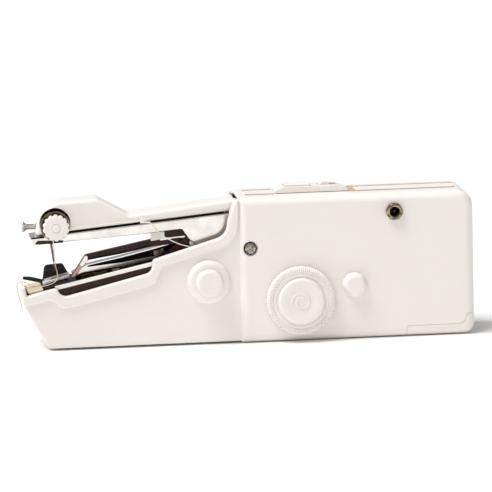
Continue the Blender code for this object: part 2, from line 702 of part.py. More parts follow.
def bed_corners(*corners):
    """Outline corners given along and above the sloping bed."""
    return [bed_point(along, height) + (radius,) for along, height, radius in corners]


def build_bed(steel, dark_steel, brass, nickel):
    side = bed_corners((9.0, -9.5, 2.0), (66.5, -9.5, 0.0), (66.5, 0.0, 1.0), (9.0, 0.0, 1.5))
    channel = make("bed_channel", slab(side, -BED_SIDE, BED_SIDE, 0.5, 0.5), dark_steel)
    hollow = bed_corners((0.0, -8.3, 0.0), (80.0, -8.3, 0.0), (80.0, 9.0, 0.0), (0.0, 9.0, 0.0))
    cut(channel, slab(hollow, 1.2 - BED_SIDE, BED_SIDE - 1.2))

    apron = bed_corners((-0.6, 0.6, 0.5), (6.4, 0.6, 0.5), (23.0, 0.6, 0.4), (23.0, 1.4, 0.4), (-0.6, 1.4, 0.4))
    plate = make("needle_plate", slab(apron, -10.6, 10.6), brass)
    slot = bed_corners((11.6, -3.0, 0.0), (19.4, -3.0, 0.0), (19.4, 5.0, 0.0), (11.6, 5.0, 0.0))
    cut(plate, slab(slot, -1.4, 1.4))

    low = bed_corners((53.0, -8.0, 0.0), (66.0, -8.0, 0.0))
    cheeks = low + [(82.0, 45.0, 2.0), (82.0, 50.6, 2.5), (75.0, 50.6, 2.5)] + bed_corners((56.0, -2.0, 0.0))
    bracket = make("lever_bracket", slab(cheeks, -6.8, 6.8), steel)
    inner = bed_corners((40.0, -7.0, 0.0), (66.6, -7.0, 0.0)) + [(95.0, 45.0, 0.0), (95.0, 70.0, 0.0)]
    inner += [(40.0, 70.0, 0.0)]
    cut(bracket, slab(inner, -5.8, 5.8))
    cut(bracket, disc(1.5, -10.0, 10.0, LEVER_PIVOT, sides=12))
    make("lever_pivot_pin", disc(1.2, -6.7, 6.7, LEVER_PIVOT, sides=12), nickel)
    for number, along in enumerate((27.0, 44.0), 1):
        head = bed_corners((along, 0.4, 0.0))[0]
        profile = [(head[1] - 7.4, 0.0), (head[1] - 7.4, 1.1), (head[1] - 1.2, 1.1), (head[1] - 1.2, 2.3)]
        profile += [(head[1], 2.3), (head[1], 0.0)]
        made = make(f"bed_screw_{number}", turned(profile, (head[0], -8.3, 0), "Z", 16), nickel)
        cut(made, box((head[0] - 4.0, -8.6, head[1] - 0.6), (head[0] + 4.0, -8.0, head[1] + 2.0)))


def build_presser(chrome, dark_steel):
    """Presser lever on the pivot pin and the foot with its lifting tab and finger."""
    pivot = at_y(LEVER_PIVOT)
    shape = [
        (20.6, 32.6, 0.4),
        (26.0, 34.7, 2.0),
        (44.0, 36.9, 8.0),
        (61.0, 39.4, 8.0),
        (78.5, 45.0, 0.0),
        (77.5, 49.6, 0.0),
        (60.4, 45.2, 8.0),
        (44.0, 41.4, 8.0),
        (28.0, 38.2, 2.0),
        (20.4, 34.6, 0.4),
    ]
    lever = make("presser_lever", slab(shape, -2.8, 2.8, 0.3, 0.3, edge_steps=1), chrome, pivot)
    add(lever, disc(2.9, -2.6, 2.6, LEVER_PIVOT, sides=16))
    cut(lever, disc(1.5, -10, 10, LEVER_PIVOT, sides=12))

    slope = math.tan(math.radians(15.0))

    def foot_z(x, rise):
        return 30.2 + (x - 7.0) * slope + rise

    sole = [(6.6, foot_z(6.6, -0.6), 0.4), (19.2, foot_z(19.2, -0.6), 0.3), (19.2, foot_z(19.2, 0.8), 0.3)]
    sole += [(6.6, foot_z(6.6, 0.8), 0.4)]
    foot = make("presser_foot", slab(sole, -5.0, 5.0, 0.4, 0.4, edge_steps=2), dark_steel, pivot)
    tab = [(7.0, foot_z(7.0, 0.0), 0), (19.0, foot_z(19.0, 0.0), 0), (16.6, 38.4, 1.4), (8.0, 37.8, 1.8)]
    add(foot, slab(tab, 3.2, 4.4))
    finger = [(-2.6, 32.2, 0.3), (8.0, 29.6, 0), (8.0, 31.0, 0), (-2.4, 33.0, 0.3)]
    add(foot, slab(finger, -0.6, 1.2))
    slot = [(10.6, 20.0, 0), (17.8, 20.0, 0), (17.8, 36.0, 0), (10.6, 36.0, 0)]
    cut(foot, slab(slot, -4.0, 1.2))
    spring = coil(at_y(LEVER_PIVOT), 2.1, 3.4, 5.3, 3.0)
    wire("presser_spring", spring, 0.25, chrome, 1)


def build_feed(chrome, white):
    """Feed lever: bar from the pivot to a bend, then a claw down to the cloth."""
    pivot = at_y(LEVER_PIVOT)
    shape = [
        (19.8, 33.0, 0.4),
        (21.7, 33.0, 0.4),
        (28.0, 40.8, 2.0),
        (44.0, 43.2, 8.0),
        (58.0, 46.0, 8.0),
        (71.0, 47.2, 4.0),
        (77.0, 45.2, 0.0),
        (79.4, 49.6, 0.0),
        (76.2, 52.6, 2.0),
        (71.2, 53.7, 2.0),
        (63.0, 52.6, 2.0),
        (57.4, 49.4, 3.0),
        (44.0, 46.8, 8.0),
        (26.7, 43.4, 1.6),
    ]
    lever = make("feed_lever", slab(shape, -5.4, -3.2, 0.3, 0.3, edge_steps=1), chrome, pivot)
    add(lever, disc(2.8, -5.3, -3.3, LEVER_PIVOT, sides=16))
    cut(lever, disc(1.5, -10, 10, LEVER_PIVOT, sides=12))
    guide = [(57.8, 48.9, 0.4), (64.4, 49.9, 0.4), (64.4, 53.2, 0.4), (57.8, 52.8, 0.4)]
    make("feed_guide", slab(guide, -6.9, -5.7), white, pivot)


def build_looper(steel):
    """Looper: bar that slides along the bed with a hooked blade beside the needle."""
    bar = bed_corners((17.0, -6.4, 0.5), (47.0, -6.4, 0.5), (47.0, -4.4, 0.5), (17.0, -4.4, 0.5))
    looper = make("looper", slab(bar, 1.1, 4.0), steel)
    blade = bed_corners((10.6, -4.9, 0.2), (18.0, -6.2, 0.0), (22.0, -6.2, 0.0), (22.0, -4.6, 0.0), (15.0, -4.0, 1.0))
    add(looper, slab(blade, 1.1, 2.1))


# ---------------------------------------------------------------- spool, spindles and thread


def build_spool(white, thread, steel):
    x, z = SPOOL
    spindle = [(-22.8, 0.0), (-22.8, 5.2), (-22.0, 6.2), (-18.6, 6.4), (-18.6, 1.6), (15.6, 1.6), (16.6, 0.9)]
    spindle += [(16.6, 0.0)]
    make("spool_spindle", turned(spindle, at_y(SPOOL), sides=20), white, at_y(SPOOL))
    reel = [(3.6, 2.0), (3.6, 9.8), (4.6, 9.8), (4.6, 4.2), (12.8, 4.2), (12.8, 9.8), (13.8, 9.8), (13.8, 2.0)]
    make("bobbin", turned(reel, at_y(SPOOL), sides=28, bored=True), steel, at_y(SPOOL, 9))
    wound = [(4.9, 4.5), (4.9, 8.3), (12.5, 8.3), (12.5, 4.5)]
    make("bobbin_thread", turned(wound, at_y(SPOOL), sides=28, bored=True), thread, at_y(SPOOL, 9))

    spare = [(-21.6, 0.0), (-21.6, 3.6), (-21.0, 4.2), (-19.6, 4.5), (-19.2, 5.8), (-17.8, 5.8), (-17.8, 2.1)]
    spare += [(-1.5, 2.1), (-0.5, 1.2), (-0.5, 0.0)]
    make("spare_spindle", turned(spare, at_y(SPARE), sides=24), white, at_y(SPARE))


SUPPLY_ROUTE = (
    (83.9, 8.5, 38.7),
    (84.2, 8.3, 42.8),
    (86.0, 3.0, 43.9),
    (86.2, -4.5, 43.4),
    (82.6, -10.4, 43.6),
    (77.4, -12.0, 45.9),
    (71.0, -12.4, 47.8),
    (63.5, -11.6, 51.7),
    (59.2, -10.9, 55.9),
    (57.2, -10.3, 58.8),
)
NEEDLE_ROUTE = (
    (55.8, -10.1, 59.3),
    (42.0, -9.9, 58.8),
    (28.0, -9.8, 57.8),
    (17.4, -9.6, 56.2),
    (13.4, -9.6, 55.7),
    (11.2, -9.5, 54.1),
    (11.6, -9.3, 50.4),
    (12.2, -5.0, 46.5),
    (12.4, -1.6, 43.0),
    (13.0, -1.0, 38.0),
)
TAIL_ROUTE = (
    (13.1, -1.3, 37.2),
    (13.4, -3.8, 35.6),
    (13.2, -6.6, 32.8),
    (10.8, -7.2, 30.6),
    (5.5, -6.9, 29.4),
    (0.5, -6.6, 30.6),
    (-3.6, -6.2, 32.0),
    (-5.7, -5.7, 30.8),
    (-5.7, -5.3, 27.6),
    (-4.8, -5.0, 23.8),
    (-4.0, -4.8, 20.6),
    (-4.4, -4.4, 17.6),
    (-6.0, -4.0, 14.8),
)


def build_threads(thread):
    wire("thread_supply", smooth_route(SUPPLY_ROUTE, 1.5), THREAD_RADIUS, thread)
    wire("thread_needle", smooth_route(NEEDLE_ROUTE, 1.5), THREAD_RADIUS, thread)
    wire("thread_tail", smooth_route(TAIL_ROUTE, 1.5), THREAD_RADIUS, thread)


# ---------------------------------------------------------------- main


def clear_scene():
    for old in list(bpy.data.objects):
        bpy.data.objects.remove(old, do_unlink=True)


def main():
    clear_scene()
    white = material("white_plastic", (0.84, 0.81, 0.79), 0.32)
    chrome = material("chrome", (0.82, 0.81, 0.79), 0.12, 1.0)
    steel = material("steel", (0.55, 0.54, 0.52), 0.3, 1.0)
    nickel = material("nickel", (0.66, 0.62, 0.56), 0.25, 1.0)
    brass = material("brass", (0.62, 0.45, 0.22), 0.3, 1.0)
    black = material("black_plastic", (0.02, 0.02, 0.02), 0.4)
    dark = material("grey_plastic", (0.12, 0.12, 0.13), 0.5)
    dark_steel = material("dark_steel", (0.2, 0.17, 0.15), 0.3, 1.0)
    thread = material("thread", (0.78, 0.72, 0.5), 0.8)
    cell = material("battery_wrap", (0.05, 0.18, 0.10), 0.4)
    build_case(white)
    build_battery_cover(white, steel)
    build_screws(nickel)
    build_jack(nickel, black)
    build_switch(white)
    build_power(cell, steel, dark)
    build_drive(white, steel, brass, dark)
    build_arm(white, chrome, steel)
    build_needle(steel)
    build_tension(white, chrome, brass)
    build_arm_fittings(steel, nickel)
    build_bed(steel, dark_steel, brass, nickel)
    build_presser(chrome, dark_steel)
    build_feed(chrome, white)
    build_looper(steel)
    build_spool(white, thread, steel)
    build_threads(thread)


main()
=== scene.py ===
"""Looks of the handheld sewing machine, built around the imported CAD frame.

Shapes are laid out in millimetres in the machine's own design frame (X from the needle end, Y = 0 on the
seam, Z = 0 on the base) and moved into the row frame, in metres, by to_object().
"""

import json
from math import atan2, ceil, cos, degrees, pi, radians, sin, tan

import bmesh
import bpy
from mathutils import Matrix, Vector


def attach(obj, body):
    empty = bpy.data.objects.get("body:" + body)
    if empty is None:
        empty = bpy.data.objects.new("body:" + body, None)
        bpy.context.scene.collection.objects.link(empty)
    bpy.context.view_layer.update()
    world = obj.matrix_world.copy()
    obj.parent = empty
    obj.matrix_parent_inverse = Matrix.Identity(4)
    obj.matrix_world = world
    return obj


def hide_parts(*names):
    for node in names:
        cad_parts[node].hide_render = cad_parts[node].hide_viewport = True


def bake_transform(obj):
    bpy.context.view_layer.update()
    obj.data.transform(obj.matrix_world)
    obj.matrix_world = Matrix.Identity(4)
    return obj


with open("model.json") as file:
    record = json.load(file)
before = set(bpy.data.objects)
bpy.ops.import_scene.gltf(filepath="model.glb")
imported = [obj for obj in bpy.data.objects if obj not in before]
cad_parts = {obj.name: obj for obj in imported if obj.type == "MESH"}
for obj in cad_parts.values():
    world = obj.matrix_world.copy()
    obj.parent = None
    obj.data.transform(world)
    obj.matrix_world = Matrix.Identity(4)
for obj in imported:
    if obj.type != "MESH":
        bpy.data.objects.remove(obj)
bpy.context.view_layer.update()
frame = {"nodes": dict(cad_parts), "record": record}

MM = 0.001
CENTRE = Vector((102.55, -3.25, 0.0))

# Case
NOSE_X = -5.2
END_X = 210.3
HALF_DEPTH = 17.5
CASE_TOP = 69.0
STEP_X = 98.4
ARM_HALF_DEPTH = 15.5
ARM_BASE = 0.8
WALL = 2.0
LIP_FRONT = -16.85
LIP_EDGE = 1.0
COVER_X = 177.6
GAP = 0.3
COVER_GAP = 0.12
SEAM_GAP = 0.15
CASE_EDGE = 4.0
CASE_BEVEL = 0.18
TOP_BAND_RISE = 0.35

# Mounted parts and pivots, as (x, z)
WHEEL = (127.0, 19.9)
SPOOL = (83.9, 29.9)
SPARE = (152.8, 26.2)
JACK = (172.4, 60.3)
FRONT_SCREW = (103.9, 45.1)
REAR_SCREWS = ((21.0, 7.5), (160.0, 61.0), (168.0, 9.0))
TENSION = (12.7, 58.1)
RECESS = (12.7, 59.4)
LEVER_PIVOT = (78.0, 47.4)
ARM_PIVOT = (110.0, 58.0)
ROD = (134.0, 57.6)

# Needle arm, bed and threads
NEEDLE_SCREW_Z = 57.0
ARM_SIDE = 8.2
SHEET = 0.8
BED_ANGLE = 12.0
BED_START = 26.0
BED_SIDE = 12.5
PIN_BORE = 1.5
THREAD_RADIUS = 0.25
THREAD_SPACING = 0.25
TAIL_SPACING = 0.22
STRANDS = 3
HALF_TWIST = 1.6

# Holes in the front half of the case: radius, back end and centre
FRONT_BORES = (
    (2.1, 0.0, SPOOL), (4.5, -10.0, WHEEL), (2.5, -10.0, SPARE), (3.6, -10.0, JACK),
    (3.6, -16.0, FRONT_SCREW), (1.7, -10.0, FRONT_SCREW),
)

# Raised bands along the top as (name, start, end), each with two lines: name, front, back, rise and tone
TOP_BANDS = (("left", 102.8, 117.0), ("right", 152.3, 203.0))
TOP_LINES = (("front", -7.2, -6.3, 0.0, "seam_grey"), ("rear", 4.4, 6.2, 0.25, "seam"))

# Mechanism in the bed: depth, height over the bed's top edge, spring along it, and rods as start along the
# bed, length, radius and tone
WORKS_Y = 4.6
WORKS_HEIGHT = -0.9
WORKS_SPRING_START = 26.0
WORKS_SPRING_LENGTH = 6.5
WORKS_RODS = ((31.5, 7.0, 0.8, "works_gold"), (41.0, 3.5, 0.5, "foot_sole"), (45.5, 12.0, 0.9, "works"))

# CAD nodes copied with softened edges: node, bevel and any tone
SOFTENED = (
    ("looper", 0.15),
    ("needle_clamp", 0.2),
    ("tension_stud", 0.1),
    ("feed_guide", 0.15),
    ("bobbin", 0.1),
    ("bed_screw_1", 0.12),
    ("bed_screw_2", 0.12),
    ("lever_bracket", 0.25, "bracket"),
)

# Finer than the defaults: sides of the large round parts, and the crease angle kept sharp on them
FINE_SIDES = 96
ROUND_CREASE = 50.0

# Section of the black ring of painted shade around a screw in its well: depth below the face and radius
SCREW_WELL = ((0.75, 2.65), (0.75, 3.05), (1.15, 3.05), (1.15, 2.65))

# A length that reaches clear of the machine, for cuts that go right through
OUTSIDE = 30.0

# Points within this distance are one point, in metres
MERGE = 1e-6

# Smallest radius an inset corner keeps, degrees between an arc's points, steps between two knots of a route
SMALLEST_ARC = 0.05
ARC_STEP = 8.0
ROUTE_STEPS = 40

# Outline corners are (x, z, radius), anticlockwise as seen from the front
BODY_CORNERS = [(STEP_X, 0.0, 1.5), (END_X, 0.0, 5.0), (END_X, CASE_TOP, 8.0), (STEP_X, CASE_TOP, 2.5)]
LIP_INNER = [
    (97.3, 68.4, 0.6), (93.4, 58.0, 12.0), (93.0, 51.5, 7.0), (57.9, 41.3, 1.5), (57.0, 35.2, 4.0),
    (14.6, 25.0, 4.0), (12.0, 29.7, 2.0), (-2.2, 26.2, 1.0), (-2.9, 31.2, 0.6), (NOSE_X, 30.6, 1.0),
]
LIP_OUTER = [
    (-3.6, 21.6, 1.2), (9.6, 24.6, 3.0), (14.2, 19.4, 6.5), (58.8, 29.9, 6.5), (62.4, 38.2, 2.0),
    (98.0, 47.8, 12.0), (STEP_X + 0.6, 68.4, 0.6),
]
NOSE_CORNERS = [(-3.6, 22.0, 2.0), (7.8, ARM_BASE, 3.0), (104.0, ARM_BASE, 0.0), (104.0, 66.0, 0.0)]

SUPPLY_ROUTE = (
    (83.9, 8.5, 38.7), (84.2, 8.3, 42.8), (86.0, 3.0, 43.9), (86.2, -4.5, 43.4), (82.6, -10.4, 43.6),
    (77.4, -12.0, 45.9), (71.0, -12.4, 47.8), (63.5, -11.6, 51.7), (59.2, -10.9, 55.9),
    (57.2, -10.3, 58.8),
)
NEEDLE_ROUTE = (
    (55.8, -10.1, 59.3), (42.0, -9.9, 58.8), (28.0, -9.8, 57.8), (17.4, -9.6, 56.2), (13.4, -9.6, 55.7),
    (11.2, -9.5, 54.1), (11.6, -9.3, 50.4), (12.2, -5.0, 46.5), (12.4, -1.6, 43.0), (13.1, -1.25, 37.3),
)
TAIL_ROUTE = (
    (13.1, -1.3, 37.2), (13.4, -3.8, 35.6), (13.2, -6.6, 32.8), (10.8, -7.2, 30.6), (5.5, -6.9, 29.4),
    (0.5, -6.6, 30.6), (-3.6, -6.2, 32.0), (-5.7, -5.7, 30.8), (-5.7, -5.3, 27.6), (-4.8, -5.0, 23.8),
    (-4.0, -4.8, 20.6), (-4.4, -4.4, 17.6), (-6.0, -4.0, 14.8),
)

# Camera: degrees left of straight on, degrees above, and the turn of the picture. The middle of the picture
# lies CENTRE_LEFT to the left of ANCHOR and CENTRE_UP above it; FRAME_WIDTH is what it shows there
CAMERA_AZIMUTH = 6.5
CAMERA_ELEVATION = 9.5
CAMERA_ROLL = 1.25
LENS = 400.0
SENSOR = 36.0
FRAME_WIDTH = 233.2
ANCHOR = Vector((210.0, -17.5, 0.0))
CENTRE_LEFT = 108.5
CENTRE_UP = 41.5

# Studio: floor size and drop in metres, world light, lamps as name, direction, width in degrees, strength
FLOOR_REACH = 40.0
FLOOR_DROP = 0.0002
WORLD_COLOUR = (1.0, 0.985, 0.97, 1.0)
WORLD_STRENGTH = 0.4
LAMPS = (("key", (-0.45, -0.13, 1.0), 36.0, 3.0), ("fill", (-0.5, -1.0, 0.5), 60.0, 0.2))

# Ranges of the noise and of the edge curvature that the materials use, and depths in metres
FULL = (0.0, 1.0)
PATCH_RANGE = (0.35, 0.65)
SPECKLE_RANGE = (0.56, 0.62)
GRAIN_RANGE = (0.3, 0.7)
WEAR_RANGE = (0.52, 0.6)
WEAR_AMOUNT = (0.0, 0.7)
RELIEF_DEPTH = 0.0002
SCATTER_REACH = 0.002


# ------------------------ outlines and solids


def bed_point(along, height):
    """Point on the sloping bed: distance along it from x = 0, height above its top edge."""
    slope = radians(BED_ANGLE)
    x = along * cos(slope) - height * sin(slope)
    z = BED_START + along * sin(slope) + height * cos(slope)
    return x, z


def bed_corners(*corners):
    """Outline corners given along and above the sloping bed."""
    return [bed_point(along, height) + (radius,) for along, height, radius in corners]


def gap_line(x):
    """Height of the line between the arm's white cover and the steel channel."""
    return 53.1 + 0.088 * x


def polar(centre, radius, angle):
    """Point (x, z) at a radius and an angle in degrees around a centre."""
    turn = radians(angle)
    return centre[0] + radius * cos(turn), centre[1] + radius * sin(turn)


def rectangle(low, high, *radii):
    """Outline corners between two opposite (x, z) points, with one radius or one for each corner."""
    spots = (low, (high[0], low[1]), high, (low[0], high[1]))
    return [(*spot, radius) for spot, radius in zip(spots, radii * (4 // len(radii)))]


def outline(corners, inset):
    """Points of a closed outline with rounded corners, moved inwards by inset."""
    points = []
    count = len(corners)
    for i, (x, z, radius) in enumerate(corners):
        here = Vector((x, z))
        enter = (here - Vector(corners[i - 1][:2])).normalized()
        leave = (Vector(corners[(i + 1) % count][:2]) - here).normalized()
        left_in = Vector((-enter.y, enter.x))
        left_out = Vector((-leave.y, leave.x))
        corner = here + (left_in + left_out) * (inset / (1 + left_in.dot(left_out)))
        turn = atan2(enter.x * leave.y - enter.y * leave.x, enter.dot(leave))
        if radius == 0:
            points.append(corner)
            continue
        side = 1 if turn > 0 else -1
        arc = max(radius - side * inset, SMALLEST_ARC)
        start = corner - enter * (arc * tan(abs(turn) / 2))
        centre = start + left_in * (side * arc)
        steps = max(1, ceil(degrees(abs(turn)) / ARC_STEP))
        for k in range(steps + 1):
            spoke = start - centre
            spoke.rotate(Matrix.Rotation(turn * k / steps, 2))
            points.append(centre + spoke)
    return points


def loft(rings):
    """Closed solid through rings of equal count, with a flat face on each end."""
    bm = bmesh.new()
    rows = [[bm.verts.new(point) for point in ring] for ring in rings]
    for low, high in zip(rows, rows[1:]):
        for i in range(len(low)):
            j = (i + 1) % len(low)
            bm.faces.new((low[i], low[j], high[j], high[i]))
    bm.faces.new(list(reversed(rows[0])))
    bm.faces.new(rows[-1])
    bmesh.ops.recalc_face_normals(bm, faces=bm.faces)
    return bm


def slab(corners, front, back, front_edge=0.0, back_edge=0.0, edge_steps=5, grow=0.0):
    """Solid of an XZ outline, grown all round, between two Y values, its front and back edges rounded."""
    layers = []
    for k in range(edge_steps + 1 if front_edge else 1):
        turn = radians(90 * k / edge_steps)
        layers.append((front_edge * (1 - sin(turn)), front + front_edge * (1 - cos(turn))))
    for k in range(edge_steps + 1 if back_edge else 1):
        turn = radians(90 - 90 * k / edge_steps)
        layers.append((back_edge * (1 - sin(turn)), back - back_edge * (1 - cos(turn))))
    rings = [[Vector((p.x, y, p.y)) for p in outline(corners, inset - grow)] for inset, y in layers]
    return loft(rings)


def box(low, high):
    """Plain box between two opposite corners."""
    return slab(rectangle((low[0], low[2]), (high[0], high[2]), 0), low[1], high[1])


AXES = {
    "X": (Vector((1, 0, 0)), Vector((0, 1, 0)), Vector((0, 0, 1))),
    "Y": (Vector((0, 1, 0)), Vector((1, 0, 0)), Vector((0, 0, 1))),
    "Z": (Vector((0, 0, 1)), Vector((1, 0, 0)), Vector((0, 1, 0))),
}


def plain(row, angle):
    """No ripple: neither along the axis nor in radius."""
    return 0.0, 0.0


def turned(profile, centre, axis="Y", sides=64, bored=False, ripple=plain):
    """Solid of revolution through (position along the axis, radius); ripple moves each point a little.

    centre holds the two coordinates across the axis.
    """
    along, across, up = AXES[axis]
    base = across * centre[0] + up * centre[1]
    bm = bmesh.new()
    rows = []
    for row, (reach, radius) in enumerate(profile):
        if radius == 0:
            rows.append([bm.verts.new(base + along * reach)])
            continue
        ring = []
        for i in range(sides):
            turn = 2 * pi * i / sides
            shift, swell = ripple(row, turn)
            spoke = (across * cos(turn) + up * sin(turn)) * (radius + swell)
            ring.append(bm.verts.new(base + along * (reach + shift) + spoke))
        rows.append(ring)
    for low, high in zip(rows, rows[1:] + rows[:1] if bored else rows[1:]):
        for i in range(sides):
            j = (i + 1) % sides
            if len(low) == 1:
                bm.faces.new((low[0], high[j], high[i]))
            elif len(high) == 1:
                bm.faces.new((low[i], low[j], high[0]))
            else:
                bm.faces.new((low[i], low[j], high[j], high[i]))
    if not bored:
        for row in (rows[0], rows[-1]):
            if len(row) > 1:
                bm.faces.new(row)
    bmesh.ops.recalc_face_normals(bm, faces=bm.faces)
    return bm


def disc(radius, front, back, centre, axis="Y", sides=48):
    """Plain cylinder between two positions along an axis."""
    return turned([(front, radius), (back, radius)], centre, axis, sides)


def smooth_route(route, spacing):
    """Even points along a Catmull-Rom curve through the given route points."""
    knots = [Vector(p) for p in route]
    ends = [knots[0] * 2 - knots[1]] + knots + [knots[-1] * 2 - knots[-2]]
    fine = []
    for a, b, c, d in zip(ends, ends[1:], ends[2:], ends[3:]):
        for k in range(ROUTE_STEPS):
            t = k / ROUTE_STEPS
            square = (2 * a - 5 * b + 4 * c - d) * t**2
            cube = (3 * b - a - 3 * c + d) * t**3
            fine.append(0.5 * (2 * b + (c - a) * t + square + cube))
    fine.append(knots[-1])
    length = sum((b - a).length for a, b in zip(fine, fine[1:]))
    count = max(2, round(length / spacing))
    points = [fine[0]]
    walked = 0.0
    for a, b in zip(fine, fine[1:]):
        walked += (b - a).length
        if walked >= length * len(points) / count and len(points) < count:
            points.append(b)
    points.append(fine[-1])
    return points


def helix(centre, radius, low, high, turns, steps=24):
    """Points of a helix along Y."""
    points = []
    for k in range(int(turns * steps) + 1):
        x, z = polar(centre, radius, 360.0 * k / steps)
        points.append(Vector((x, low + (high - low) * k / (turns * steps), z)))
    return points


def twisted(points, radius, depth=0.16, sides=12):
    """Tube along points whose section is a few strands twisted together."""
    rings = []
    normal = Vector((0, 1, 0.2)).normalized()
    walked = 0.0
    for i, point in enumerate(points):
        after = points[min(i + 1, len(points) - 1)]
        before = points[max(i - 1, 0)]
        along = (after - before).normalized()
        normal = (normal - along * normal.dot(along)).normalized()
        side = along.cross(normal)
        walked += (point - before).length
        lay = 2 * pi * walked / HALF_TWIST
        ring = []
        for k in range(sides):
            turn = 2 * pi * k / sides
            reach = radius * (1 - depth + depth * cos(STRANDS * turn - lay * STRANDS / 2))
            ring.append(point + (normal * cos(turn) + side * sin(turn)) * reach)
        rings.append(ring)
    return loft(rings)


# ------------------------ materials


def link_noise(tree, coordinates, scale, detail=4.0, rough=0.5):
    """Noise between 0 and 1 over the given coordinates."""
    noise = tree.nodes.new("ShaderNodeTexNoise")
    noise.inputs["Scale"].default_value = scale
    noise.inputs["Detail"].default_value = detail
    noise.inputs["Roughness"].default_value = rough
    tree.links.new(coordinates, noise.inputs["Vector"])
    return noise.outputs["Fac"]


def link_range(tree, value, source, result):
    """The value with its source range, as (low, high), spread over the result range."""
    spread = tree.nodes.new("ShaderNodeMapRange")
    tree.links.new(value, spread.inputs["Value"])
    for name, number in zip(("From Min", "From Max", "To Min", "To Max"), (*source, *result)):
        spread.inputs[name].default_value = number
    return spread.outputs["Result"]


def link_mix(tree, factor, first, second):
    """Mix of two colours, each a tuple or another node's output."""
    mix = tree.nodes.new("ShaderNodeMix")
    mix.data_type = "RGBA"
    tree.links.new(factor, mix.inputs["Factor"])
    for name, colour in (("A", first), ("B", second)):
        socket = next(s for s in mix.inputs if s.name == name and s.type == "RGBA")
        if isinstance(colour, tuple):
            socket.default_value = (*colour, 1.0)
        else:
            tree.links.new(colour, socket)
    return next(s for s in mix.outputs if s.type == "RGBA")


def surface(name, tone, shade, rough, metallic=0.0, patch=45.0, grain=1500.0, stretch=(1, 1, 1), bump=0.1,
            worn=None, speckle=None, coat=0.0, sheen=0.0, scatter=0.0, gloss=0.5):
    """Two tones mixed by broad noise, worn edges, and fine grain in the roughness and the bump."""
    made = bpy.data.materials.new(name)
    made.use_nodes = True
    tree = made.node_tree
    shader = tree.nodes["Principled BSDF"]
    position = tree.nodes.new("ShaderNodeTexCoord").outputs["Object"]
    mapping = tree.nodes.new("ShaderNodeMapping")
    mapping.inputs["Scale"].default_value = stretch
    tree.links.new(position, mapping.inputs["Vector"])
    broad = link_noise(tree, position, patch)
    fine = link_noise(tree, mapping.outputs["Vector"], grain, detail=5.0, rough=0.6)
    colour = link_mix(tree, link_range(tree, broad, PATCH_RANGE, FULL), tone, shade)
    if speckle:
        spots = link_noise(tree, position, grain * 0.7, detail=2.0)
        colour = link_mix(tree, link_range(tree, spots, SPECKLE_RANGE, FULL), colour, speckle)
    if worn:
        edge = tree.nodes.new("ShaderNodeNewGeometry").outputs["Pointiness"]
        colour = link_mix(tree, link_range(tree, edge, WEAR_RANGE, WEAR_AMOUNT), colour, worn)
    tree.links.new(colour, shader.inputs["Base Color"])
    tree.links.new(link_range(tree, fine, GRAIN_RANGE, rough), shader.inputs["Roughness"])
    relief = tree.nodes.new("ShaderNodeBump")
    relief.inputs["Strength"].default_value = bump
    relief.inputs["Distance"].default_value = RELIEF_DEPTH
    tree.links.new(fine, relief.inputs["Height"])
    tree.links.new(relief.outputs["Normal"], shader.inputs["Normal"])
    settings = (
        ("Metallic", metallic), ("Specular IOR Level", gloss), ("Coat Weight", coat),
        ("Sheen Weight", sheen), ("Subsurface Weight", scatter), ("Subsurface Scale", SCATTER_REACH),
    )
    for key, value in settings:
        shader.inputs[key].default_value = value
    return made


